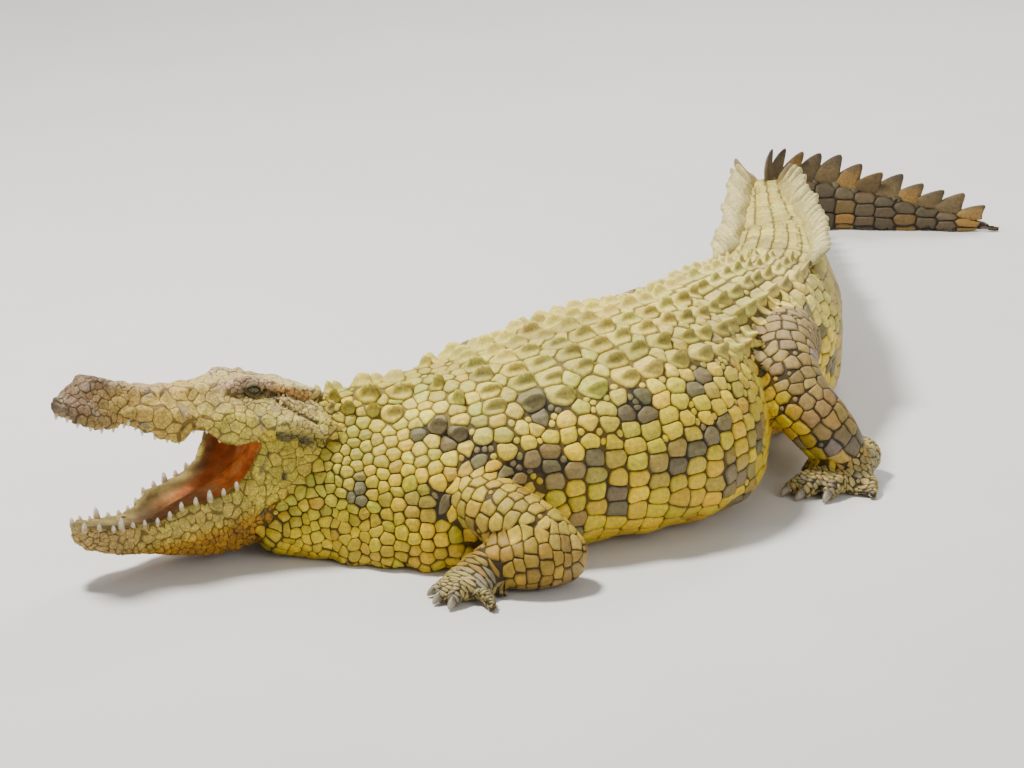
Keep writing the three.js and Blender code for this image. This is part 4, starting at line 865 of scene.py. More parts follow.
def hide(name, fine=900.0, mottle=90.0, rough=(0.46, 0.68), bump=0.25, spec=0.45, attr="Col", dist=0.0006, crack=0.0, cells=150.0):
    m, nt, b = material(name)
    L = nt.links.new
    tc = nd(nt, "ShaderNodeTexCoord")
    col = nd(nt, "ShaderNodeVertexColor", layer_name=attr)
    n1 = nd(nt, "ShaderNodeTexNoise", Scale=mottle, Detail=5.0, Roughness=0.62)
    n2 = nd(nt, "ShaderNodeTexNoise", Scale=fine, Detail=3.0, Roughness=0.55)
    n3 = nd(nt, "ShaderNodeTexVoronoi", Scale=fine * 0.55)
    for n in (n1, n2, n3):
        L(tc.outputs["Object"], n.inputs["Vector"])
    r1 = nd(nt, "ShaderNodeMapRange")
    r1.inputs[1].default_value, r1.inputs[2].default_value = 0.32, 0.70
    r1.inputs[3].default_value, r1.inputs[4].default_value = 0.72, 1.22
    L(n1.outputs["Fac"], r1.inputs[0])
    r2 = nd(nt, "ShaderNodeMapRange")
    r2.inputs[1].default_value, r2.inputs[2].default_value = 0.3, 0.7
    r2.inputs[3].default_value, r2.inputs[4].default_value = 0.86, 1.12
    L(n2.outputs["Fac"], r2.inputs[0])
    mu = nd(nt, "ShaderNodeMath", operation="MULTIPLY")
    L(r1.outputs[0], mu.inputs[0])
    L(r2.outputs[0], mu.inputs[1])
    mx = nd(nt, "ShaderNodeVectorMath", operation="SCALE")
    L(col.outputs["Color"], mx.inputs[0])
    L(mu.outputs[0], mx.inputs["Scale"])
    tone = mx.outputs[0]
    if crack:                         # fine creases in the horn, wandering and broken
        wob = nd(nt, "ShaderNodeTexNoise", Scale=cells * 0.45, Detail=2.0)
        L(tc.outputs["Object"], wob.inputs["Vector"])
        sc_ = nd(nt, "ShaderNodeVectorMath", operation="SCALE")
        sc_.inputs["Scale"].default_value = 0.9 / cells
        L(wob.outputs["Color"], sc_.inputs[0])
        av = nd(nt, "ShaderNodeVectorMath", operation="ADD")
        L(tc.outputs["Object"], av.inputs[0])
        L(sc_.outputs[0], av.inputs[1])
        vo = nd(nt, "ShaderNodeTexVoronoi", Scale=cells)
        vo.feature = "DISTANCE_TO_EDGE"
        L(av.outputs[0], vo.inputs["Vector"])
        cr = nd(nt, "ShaderNodeMapRange", interpolation_type="SMOOTHSTEP")
        cr.inputs[1].default_value, cr.inputs[2].default_value = 0.0, 0.10
        cr.inputs[3].default_value, cr.inputs[4].default_value = 1.0 - crack, 1.0
        L(vo.outputs["Distance"], cr.inputs[0])
        m2_ = nd(nt, "ShaderNodeVectorMath", operation="SCALE")
        L(tone, m2_.inputs[0])
        L(cr.outputs[0], m2_.inputs["Scale"])
        tone = m2_.outputs[0]
    L(tone, b.inputs["Base Color"])
    rr = nd(nt, "ShaderNodeMapRange")
    rr.inputs[1].default_value, rr.inputs[2].default_value = 0.3, 0.7
    rr.inputs[3].default_value, rr.inputs[4].default_value = rough
    L(n1.outputs["Fac"], rr.inputs[0])
    L(rr.outputs[0], b.inputs["Roughness"])
    ad = nd(nt, "ShaderNodeMath", operation="ADD")
    L(n2.outputs["Fac"], ad.inputs[0])
    L(n3.outputs["Distance"], ad.inputs[1])
    bp = nd(nt, "ShaderNodeBump", Strength=bump, Distance=dist)
    if crack:
        a2 = nd(nt, "ShaderNodeMath", operation="ADD")
        L(ad.outputs[0], a2.inputs[0])
        L(cr.outputs[0], a2.inputs[1])
        ad = a2
    L(ad.outputs[0], bp.inputs["Height"])
    L(bp.outputs[0], b.inputs["Normal"])
    b.inputs["Specular IOR Level"].default_value = spec
    return m, nt, b


mat_skin, _, _ = hide("hide_between_scales", fine=700, mottle=70, rough=(0.6, 0.82), bump=0.35)
mat_mouth, _, bmouth = hide("mouth_lining", fine=420, mottle=60, rough=(0.62, 0.82), bump=0.40, spec=0.18, dist=0.0008)
bmouth.inputs["Coat Weight"].default_value = 0.02
bmouth.inputs["Coat Roughness"].default_value = 0.12
mat_scale, _, _ = hide("scales", fine=1100, mottle=120, rough=(0.42, 0.66), bump=0.40, dist=0.0008, crack=0.22, cells=230)
mat_plate, _, _ = hide("head_plates", fine=1000, mottle=110, rough=(0.42, 0.66), bump=0.60, dist=0.0011, crack=0.50, cells=125)
mat_crest, _, _ = hide("crest_scutes", fine=800, mottle=90, rough=(0.48, 0.70), bump=0.50, dist=0.0010, crack=0.35, cells=110)
mat_tooth, _, bt = hide("tooth_enamel", fine=900, mottle=160, rough=(0.22, 0.40), bump=0.08, spec=0.55)
bt.inputs["Coat Weight"].default_value = 0.2
mat_claw, _, _ = hide("claw_horn", fine=600, mottle=200, rough=(0.35, 0.55), bump=0.25)
mat_eye, _, be = hide("eyeball", fine=2500, mottle=700, rough=(0.20, 0.30), bump=0.02, spec=0.35)
be.inputs["Coat Weight"].default_value = 0.12
be.inputs["Coat Roughness"].default_value = 0.03
mat_lid, _, _ = hide("eyelids", fine=1500, mottle=260, rough=(0.62, 0.8), bump=0.35, spec=0.2)

mouth_tri = mouth_f[tris].mean(1) > 0.5
skin = build("skin", co, tris, {"Col": skin_rgb}, face_uv(co, tris, part, u_lab).reshape(-1, 2), (mat_skin, mat_mouth), mouth_tri)

# ---------------------------------------------------------------- where the scales sit
KINDS = {  # roundness, gap, edge height, dome, keel, points round, size limit
    "granule": (7, 0.0006, 0.0018, 0.0007, 0.0, 10, 0.64), "flank": (13, 0.0008, 0.0040, 0.0011, 0.0022, 22, 0.73),
    "shield": (14, 0.0010, 0.0034, 0.0014, 0.0170, 26, 0.86), "tail": (34, 0.0007, 0.0034, 0.0006, 0.0, 22, 0.88),
    "tailtop": (16, 0.0009, 0.0034, 0.0010, 0.0045, 22, 0.82), "belly": (34, 0.0006, 0.0030, 0.0005, 0.0, 22, 0.88),
    "limb": (44, 0.0005, 0.0032, 0.0006, 0.0, 28, 0.92), "foot": (30, 0.0005, 0.0022, 0.0007, 0.0, 16, 0.88),
    "plate": (44, 0.0003, 0.0009, 0.0004, 0.0, 24, 0.95), "neck": (14, 0.0008, 0.0034, 0.0012, 0.0014, 22, 0.76),
    "throat": (20, 0.0005, 0.0020, 0.0006, 0.0, 16, 0.80), "nuchal": (8, 0.0012, 0.0040, 0.0030, 0.0200, 25, 0.74)}
KN = list(KINDS)
KT = np.array([KINDS[k] for k in KN])
cand = {k: [] for k in ("P", "T", "size", "kind", "prio", "long")}


def put(P, T, size, kind, prio, long=1.0):
    n = len(P)
    if n == 0:
        return
    cand["P"].append(P)
    cand["T"].append(T)
    cand["size"].append(np.broadcast_to(size, n).astype(float))
    cand["kind"].append(np.full(n, KN.index(kind)) if isinstance(kind, str) else kind)
    cand["prio"].append(np.broadcast_to(prio, n).astype(float))
    cand["long"].append(np.broadcast_to(long, n).astype(float))


A_HALF = np.linspace(0, np.pi, 241)


def row_points(s, sign, dist):        # points on the body row at s, dist along the skin from the midline of the back
    P = body_point(s, A_HALF * sign)
    d = np.r_[0, np.cumsum(np.linalg.norm(np.diff(P, axis=0), axis=1))]
    dist = dist[dist < d[-1]]
    return np.stack([np.interp(dist, d, P[:, c]) for c in range(3)], 1), dist / d[-1], d[-1]


def along_dir(s, n):
    a = math.radians(float(heading(s)))
    return np.tile([math.cos(a), math.sin(a), 0.0], (n, 1))


shield_w = curve([[0.28, 0.040], [0.36, 0.049], [0.55, 0.054], [0.80, 0.054], [1.0, 0.046], [1.30, 0.036]])
flank_w = curve([[-0.10, 0.022], [0.05, 0.0225], [0.18, 0.026], [0.30, 0.031], [0.45, 0.033], [1.0, 0.033], [1.34, 0.032]])
jit = lambda n, a: rng.uniform(-a, a, n)

# dorsal shield: rows across the back, four columns a side, three near the hips
s, rows = 0.335, 0
while s < 1.325:
    cw = float(shield_w(s))
    cols = 4 if s < 0.98 else 3
    for sign in (1, -1):
        d = (np.arange(cols) + 0.5) * cw + jit(cols, 0.0022)
        P, sh, L = row_points(s + 0.004 * math.sin(rows * 2.1), sign, d)
        put(P, along_dir(s, len(P)), cw * 1.0, "shield", 5, 0.054 / cw)
    s += 0.0545 if s < 1.0 else 0.050
    rows += 1
# nuchal cluster, post-occipital keels and a few lone keeled scales on the shoulder
for s0, l0, w0 in [(0.130, 0.030, 0.052), (0.192, 0.034, 0.056), (0.168, 0.088, 0.044), (0.066, 0.020, 0.026), (0.088, 0.056, 0.030),
                   (0.132, 0.070, 0.026), (0.050, 0.050, 0.022), (0.240, 0.155, 0.036), (0.272, 0.190, 0.036), (0.262, 0.060, 0.034),
                   (0.285, 0.115, 0.034)]:
    for sign in (1, -1):
        P, sh, L = row_points(s0, sign, np.array([l0]))
        put(P, along_dir(s0, 1), w0, "nuchal", 6)
# flank, neck and belly rows
s, k = -0.075, 0
while s < 1.335:
    w = float(flank_w(s))
    d0 = float(shield_w(s)) * (4 if s < 0.98 else 3) + 0.35 * w if s > 0.315 else (0.5 * w)
    for sign in (1, -1):
        d = np.arange(d0 + (0.5 * w if k % 2 else 0), 1.2, w)
        d = d + jit(len(d), w * 0.09)
        P, sh, L = row_points(s, sign, d)
        kind = np.where(sh[:] > np.where(s > 0.30, 0.56, 0.74), KN.index("belly"), KN.index("flank") if s > 0.26 else KN.index("neck"))
        kind = np.where((s < 0.12) & (sh > 0.5), KN.index("throat"), kind)
        put(P + rng.normal(size=P.shape) * w * 0.05, along_dir(s, len(P)), w * rng.uniform(0.90, 1.10, len(P)), kind, 2)
    s += w * (0.98 if s > 0.3 else 0.92)
    k += 1
# tail: one whorl of scales to each crest scute
for i, s in enumerate(CREST_AT + [CREST_AT[-1] + 0.035]):
    step = CREST_STEP * (1 if s < CREST_JOIN else 0.86)
    L = row_points(s, 1, np.array([0.01]))[2]
    g = float(crest_gap(s)) if s < CREST_JOIN else 0.0
    P0 = body_point(s, A_HALF)
    dd = np.r_[0, np.cumsum(np.linalg.norm(np.diff(P0, axis=0), axis=1))]
    lat = np.hypot(P0[:, 0] - P0[0, 0], P0[:, 1] - P0[0, 1])
    dg = float(np.interp(g, lat[:120], dd[:120])) if g else 0.012
    w = float(curve([[1.3, 0.038], [2.0, 0.036], [2.6, 0.038], [3.25, 0.020]])(s))
    for sign in (1, -1):
        if g:
            nt_ = max(1, int(round(dg / 0.034)))
            d = (np.arange(nt_) + 0.5) * dg / nt_
            P, sh, _ = row_points(s, sign, d)
            put(P, along_dir(s, len(P)), dg / nt_, "tailtop", 4, step / (dg / nt_))
        rest = L - dg
        nside = max(2, int(round(rest / w)))
        d = dg + (np.arange(nside) + 0.5) * rest / nside
        P, sh, _ = row_points(s, sign, d)
        put(P, along_dir(s, len(P)), rest / nside, "tail", 4, step / (rest / nside))


def tube_rows(name, row, across, kind, prio, t0=0.0, t1=1.0, a0=-math.pi, a1=math.pi):
    at = tube_frame(TUBES[name])
    tt = np.linspace(0, 1, 81)
    c = at(tt)[0]
    d = np.r_[0, np.cumsum(np.linalg.norm(np.diff(c, axis=0), axis=1))]
    n = max(1, int(round(d[-1] * (t1 - t0) / row)))
    for i in range(n + 1):
        t = t0 + (t1 - t0) * i / n
        cc, dd, side, up, b, h = (x[0] for x in at(np.interp(t * d[-1], d, tt)))
        w = np.linspace(a0, a1, 181)
        P = cc + side * (np.sin(w) * b)[:, None] + up * (np.cos(w) * h)[:, None]
        L = np.r_[0, np.cumsum(np.linalg.norm(np.diff(P, axis=0), axis=1))]
        m = max(3, int(round(L[-1] / across)))
        pos = (np.arange(m) + (0.5 if i % 2 else 0.0)) / m * L[-1]
        Q = np.stack([np.interp(pos, L, P[:, k]) for k in range(3)], 1)
        Q[:, 2] = np.maximum(Q[:, 2], 0.003)
        put(Q + rng.normal(size=Q.shape) * min(row, across) * 0.05, np.tile(dd, (len(Q), 1)), min(row, across), kind, prio, row / across)


for side in SIDES:
    tube_rows(f"upper_arm_{side}", 0.0200, 0.0330, "limb", 3)
    tube_rows(f"forearm_{side}", 0.0205, 0.0320, "limb", 3.1)
    tube_rows(f"thigh_{side}", 0.0240, 0.0350, "limb", 3)
    tube_rows(f"shank_{side}", 0.0270, 0.0350, "limb", 3.1)
    tube_rows(f"palm_{side}", 0.0105, 0.0440, "foot", 3.5)
    tube_rows(f"sole_{side}", 0.0120, 0.0200, "foot", 3.4)
    for k, (claw, _) in enumerate(FINGERS):
        tube_rows(f"finger{k}_{side}", 0.0074, 0.0185, "foot", 3.2, 0.10, 1.0)
    for k, (claw, _) in enumerate(TOES):
        tube_rows(f"toe{k}_{side}", 0.0090, 0.0210, "foot", 3.2, 0.10, 1.0)

P, T = np.vstack(cand["P"]), np.vstack(cand["T"])
size, kind = np.concatenate(cand["size"]), np.concatenate(cand["kind"])
prio, long_ = np.concatenate(cand["prio"]), np.concatenate(cand["long"])

# drop those that the neighbouring flesh hides, and put the rest on the skin
near = bvh.find_nearest
hit = [near(p) for p in P.tolist()]
dist = np.array([h[3] if h[0] is not None else 1 for h in hit])
Q = np.array([h[0] if h[0] is not None else (0, 0, 0) for h in hit])
fi = np.array([h[2] if h[0] is not None else 0 for h in hit])
corner = tris[fi, 0]
ok = (dist < 0.0135) & (mouth_f[corner] < 0.3)
ok &= ~((Q[:, 2] < 0.004) & (nrm[corner][:, 2] < -0.7) & (size < 0.02))
ok &= ~(np.isin(part[corner], [PART["head"], PART["jaw"]]) & (kind != KN.index("nuchal")))
P, T, size, kind, prio, long_, fi, corner = Q[ok], T[ok], size[ok], kind[ok], prio[ok], long_[ok], fi[ok], corner[ok]


def local_size(pt, P, u, q):          # spacing of scales that follow no rows
    out = np.full(len(P), 0.014)
    b = pt == PART["body"]
    out[b] = np.where(u[b] > 1.3, 0.016, flank_w(u[b]) * 0.62)
    hd = pt == PART["head"]
    if hd.any():
        qh = head_in(P[hd])
        x, y, z = qh[:, 0], np.abs(qh[:, 1]), qh[:, 2]
        s = np.interp(x, [-0.04, 0.05, 0.12, 0.20, 0.30, 0.38, 0.44, 0.50], [0.0170, 0.0210, 0.0220, 0.0260, 0.0320, 0.0220, 0.0160, 0.0140])
        s = s * np.where((z > -0.025) & (x < 0.16), 1.10, 1.0) * (1 + 0.30 * lumps(P[hd], 0.05, 91))
        d = np.sqrt((x - 0.128) ** 2 + (y - 0.062) ** 2 + (z + 0.018) ** 2)
        s = np.where(d < 0.040, 0.0072 + (s - 0.0072) * smooth(d, 0.022, 0.040), s)
        m3 = np.stack([x, y, z], 1)
        lg = np.min([fold_gap(m3, n_) for n_ in ("flap", "groove", "swell", "crease", "brow")], axis=0)
        s = 0.0090 + (np.maximum(s, 0.0090) - 0.0090) * smooth(lg, 0.004, 0.014)
        s = np.where(fold_gap(m3, "hollow") < 0.012, np.minimum(s, 0.0105), s)
        out[hd] = s * np.where((z < -0.035) & (x < 0.12), 0.85, 1.0)
    jw = pt == PART["jaw"]
    if jw.any():
        qj = jaw_in(P[jw])
        out[jw] = np.interp(qj[:, 0], [0, 0.12, 0.25, 0.40, 0.50], [0.0190, 0.0190, 0.0200, 0.0180, 0.0140]) * (1 + 0.25 * lumps(P[jw], 0.05, 92)) \
            * np.where(qj[:, 2] < j_low(qj[:, 0]) + 0.004, 0.62, 1.0)
    f = np.array([n.startswith(("palm", "sole", "finger", "toe", "web")) for n in PARTS])[pt]
    out[f] = 0.0085
    return out


# random seeds for the cracked plates of the head and for the small scales that fill between rows
area = np.linalg.norm(np.cross(co[tris[:, 1]] - co[tris[:, 0]], co[tris[:, 2]] - co[tris[:, 0]]), axis=1)
pt_face = part[tris[:, 0]]
weight = area * (mouth_f[tris].max(1) < 0.5)
headish = (pt_face == PART["head"]) | (pt_face == PART["jaw"])
footish = feet[tris[:, 0]]
flat = (co[tris[:, 0], 2] < 0.004) & (nrm[tris[:, 0], 2] < -0.7)
weight = weight * np.where(headish, 5.0, np.where(footish, 4.0, 1.0)) * np.where(flat, 0.15, 1.0)
n_rand = 90000
pick = rng.choice(len(tris), n_rand, p=weight / weight.sum())
b1, b2 = rng.random(n_rand), rng.random(n_rand)
sw = b1 + b2 > 1
b1[sw], b2[sw] = 1 - b1[sw], 1 - b2[sw]
RP = co[tris[pick, 0]] * (1 - b1 - b2)[:, None] + co[tris[pick, 1]] * b1[:, None] + co[tris[pick, 2]] * b2[:, None]
RN = nrm[tris[pick, 0]]
rp_part, rp_u, rp_q = part[tris[pick, 0]], u_lab[tris[pick, 0]], q_lab[tris[pick, 0]]
RS = local_size(rp_part, RP, rp_u, rp_q)

CELL = 0.03
grid = {}


def clear_of(p, n, s, share):
    cx, cy, cz = int(p[0] // CELL), int(p[1] // CELL), int(p[2] // CELL)
    for x in (cx - 1, cx, cx + 1):
        for y in (cy - 1, cy, cy + 1):
            for z in (cz - 1, cz, cz + 1):
                for o in grid.get((x, y, z), ()):
                    dx, dy, dz = p[0] - o[0], p[1] - o[1], p[2] - o[2]
                    r = share * 0.5 * (s + o[3])
                    dd_ = dx * dx + dy * dy + dz * dz
                    if o[7] != 1.0 and dd_ < 0.0016:     # a long scale keeps others off its whole length
                        al = dx * o[8] + dy * o[9] + dz * o[10]
                        k2 = o[7] * o[7]
                        dd_ = al * al / k2 + (dd_ - al * al) if k2 > 1 else al * al + (dd_ - al * al) * k2
                    if dd_ < r * r and n[0] * o[4] + n[1] * o[5] + n[2] * o[6] > 0.0:
                        return False
    return True


def settle(p, n, s, long=1.0, t=(1.0, 0.0, 0.0)):
    grid.setdefault((int(p[0] // CELL), int(p[1] // CELL), int(p[2] // CELL)), []).append((p[0], p[1], p[2], s, n[0], n[1], n[2], long, t[0], t[1], t[2]))


Nc = nrm[corner]
keep = []
for i in np.argsort(-prio, kind="stable").tolist():
    p, n, s_ = P[i].tolist(), Nc[i].tolist(), float(size[i])
    if clear_of(p, n, s_, (0.70 if prio[i] < 3 else 0.60) if kind[i] != KN.index("limb") else 0.62):
        settle(p, n, s_, float(long_[i]), T[i].tolist())
        keep.append(i)
keep = np.array(keep)
P, T, size, kind, prio, long_, corner = P[keep], T[keep], size[keep], kind[keep], prio[keep], long_[keep], corner[keep]
add = []
isH = np.isin(rp_part, [PART["head"], PART["jaw"]])
fill = np.where((rp_part == PART["body"]) & (rp_u > 0.26) & (rp_u < 0.85) & (np.abs(rp_q) > 0.26) & (np.abs(rp_q) < 0.42), 0.99, 1.13)
fill = np.where(isH, 1.0, fill)
axis_head, axis_jaw = -HEAD_M[:, 0], -JAW_M[:, 0]
RL = np.ones(n_rand)
rj = jaw_in(RP)
RL[(rp_part == PART["jaw"]) & (rj[:, 0] > 0.14) & (rj[:, 0] < 0.45)] = 0.72
RL[(rp_part == PART["jaw"]) & (rj[:, 0] <= 0.14)] = 1.20
bigs = RS / 0.62                       # a hole big enough gets a full scale before the small ones come
legs_ = np.array([n.startswith(("upper_arm", "forearm", "thigh", "shank")) for n in PARTS])[rp_part]
bigs = np.where(legs_, 0.026, bigs)
notfoot = ~footish[pick]
for turn, todo in enumerate((np.where(isH)[0], np.where(~isH & notfoot)[0], np.arange(n_rand))):
    for i in todo.tolist():
        p, n = RP[i].tolist(), RN[i].tolist()
        s_, share = ((float(RS[i]), 0.99), (float(bigs[i]), 0.84), (float(RS[i]) * 0.56, float(fill[i])))[turn]
        if clear_of(p, n, s_, share):
            l_ = float(RL[i]) if turn == 0 else 1.0
            settle(p, n, s_, l_, (axis_jaw if l_ != 1.0 else axis_head).tolist())
            add.append((i, s_, l_, turn))
ai = np.array([a[0] for a in add])
asz = np.array([a[1] for a in add])
k_add = np.where(rp_part[ai] == PART["head"], KN.index("plate"), np.where(rp_part[ai] == PART["jaw"], KN.index("throat"), KN.index("granule")))
jl = jaw_in(RP[ai])
k_add = np.where((rp_part[ai] == PART["jaw"]) & (jl[:, 2] > j_low(jl[:, 0]) + 0.012), KN.index("plate"), k_add)
k_add = np.where(feet[tris[pick[ai], 0]], KN.index("foot"), k_add)
turn_ = np.array([a[3] for a in add])
k_add = np.where(turn_ == 1, np.where(legs_[ai], KN.index("limb"), np.where(rp_u[ai] < 0.26, KN.index("neck"), KN.index("flank"))), k_add)
t_add = np.where((rp_part[ai] == PART["head"])[:, None], axis_head, axis_jaw)
bd = rp_part[ai] == PART["body"]
hh = np.radians(heading(rp_u[ai]))
t_add = np.where(bd[:, None], np.stack([np.cos(hh), np.sin(hh), 0 * hh], 1), t_add)
P, T = np.vstack([P, RP[ai]]), np.vstack([T, t_add])
size, kind = np.r_[size, asz], np.r_[kind, k_add]
long_, corner = np.r_[long_, np.array([a[2] for a in add])], np.r_[corner, tris[pick[ai], 0]]
print("scales", len(P), {KN[k]: int((kind == k).sum()) for k in range(len(KN))})

# no scale over the eyes
for sgn in (1, -1):
    ec = head_out(np.array([EYE_AT[0], sgn * EYE_AT[1], EYE_AT[2]]))
    above = head_in(P)[:, 2] - EYE_AT[2] > 0.009
    far = np.linalg.norm(P - ec, axis=1) > np.where(above, 0.0165, 0.0190)
    P, T, size, kind, long_, corner = P[far], T[far], size[far], kind[far], long_[far], corner[far]

for hx_, hy_, hr_ in ((0.446, 0.0100, 0.0085), (0.4214, 0.0093, 0.0070)):
    for sgn in (1, -1):
        far = np.linalg.norm((P - head_out(np.array([hx_, sgn * hy_, -0.012]))), axis=1) > hr_
        P, T, size, kind, long_, corner = P[far], T[far], size[far], kind[far], long_[far], corner[far]

# ---------------------------------------------------------------- the outline of every scale
nS = len(P)
N = nrm[corner]
T = unit(T - N * (T * N).sum(1)[:, None])
B = np.cross(N, T)
tree = KDTree(nS)
for i, p in enumerate(P.tolist()):
    tree.insert(p, i)
tree.balance()
squash_x, squash_y = 1 / np.maximum(long_, 1.0), np.minimum(long_, 1.0)
M = 16
nb = np.full((nS, M), -1)
for i, p in enumerate(P.tolist()):
    got = tree.find_range(p, float(size[i]) * max(float(long_[i]), 1 / float(long_[i])) * 1.30 + 0.014)
    got = [g for g in got if g[1] != i]
    if long_[i] != 1.0:               # the nearest in the squashed frame
        t_, kx, ky = T[i], float(squash_x[i]), float(squash_y[i])
        rank = []
        for g in got:
            dv = P[g[1]] - P[i]
            al = float(dv @ t_)
            rank.append((g[0], g[1], math.sqrt((al * kx) ** 2 + max(g[2] ** 2 - al * al, 0.0) * ky ** 2)))
        got = rank
    got.sort(key=lambda g: g[2])
    ids = [g[1] for g in got[:M]]
    nb[i, :len(ids)] = ids
has = nb >= 0
nbi = np.where(has, nb, 0)
D = P[nbi] - P[:, None]
squash_x, squash_y = 1 / np.maximum(long_, 1.0), np.minimum(long_, 1.0)   # long scales are laid out in a squashed frame
dx, dy = (D * T[:, None]).sum(-1) * squash_x[:, None], (D * B[:, None]).sum(-1) * squash_y[:, None]
same = (N[nbi] * N[:, None]).sum(-1) > 0.15
d = np.maximum(np.hypot(dx, dy), 1e-5)
ww = (size * 0.5) ** 2
bis = (d * d + ww[:, None] - ww[nbi]) / (2 * d)
bis = np.maximum(bis, 0.20 * size[:, None])
phi_n = np.arctan2(dy, dx)
valid = has & same
pexp, gap, edge_h, dome, keel, npt, lim = KT[kind].T
tint = marking(P, part[corner], u_lab[corner], v_lab[corner], q_lab[corner])
shade = rng.normal(size=nS)
hue = rng.normal(size=(nS, 3))
kname = np.array(KN)[kind]
pickc = rng.random(nS)
yel = np.isin(kname, ["flank", "neck", "belly"])
leg_ = np.isin(kname, ["limb"])
tint = tint * np.where((yel & (pickc < 0.16))[:, None], C(1.08, 0.96, 0.74), 1.0) * np.where((yel & (pickc > 0.80))[:, None], C(0.88, 0.96, 0.94), 1.0)
tint = tint * np.where((leg_ & (pickc < 0.25))[:, None], C(0.92, 0.90, 1.10), 1.0) * np.where((leg_ & (pickc > 0.72))[:, None], C(1.08, 1.03, 0.80), 1.0)
tint = tint * (1 + 0.10 * shade)[:, None] * (1 + 0.035 * hue)
sway = np.where(np.isin(kname, ["plate", "throat"]), 0.0026, np.where(np.isin(kname, ["limb", "belly", "flank", "neck"]), 0.0018, np.where(kname == "foot", 0.0006, 0.0010)))
al, an = chart_angle_length(P, part[corner], u_lab[corner])
root_uv = chart_uv(part[corner], al, an)
part_c = part[corner]
soft = np.isin(kname, ["plate", "throat"])
head_soft = soft & np.isin(part_c, [PART["head"], PART["jaw"]])
low_side = np.where(B[:, 2] < 0, 1.0, -1.0)


def wander(W, amount):                # the same slow sway for neighbours, so that their shared edges wander together
    flat_ = W.reshape(-1, 3)
    s_ = np.stack([lumps(flat_, 0.040, 201 + k) for k in range(3)], -1).reshape(W.shape)
    return W + s_ * amount[:, None, None]

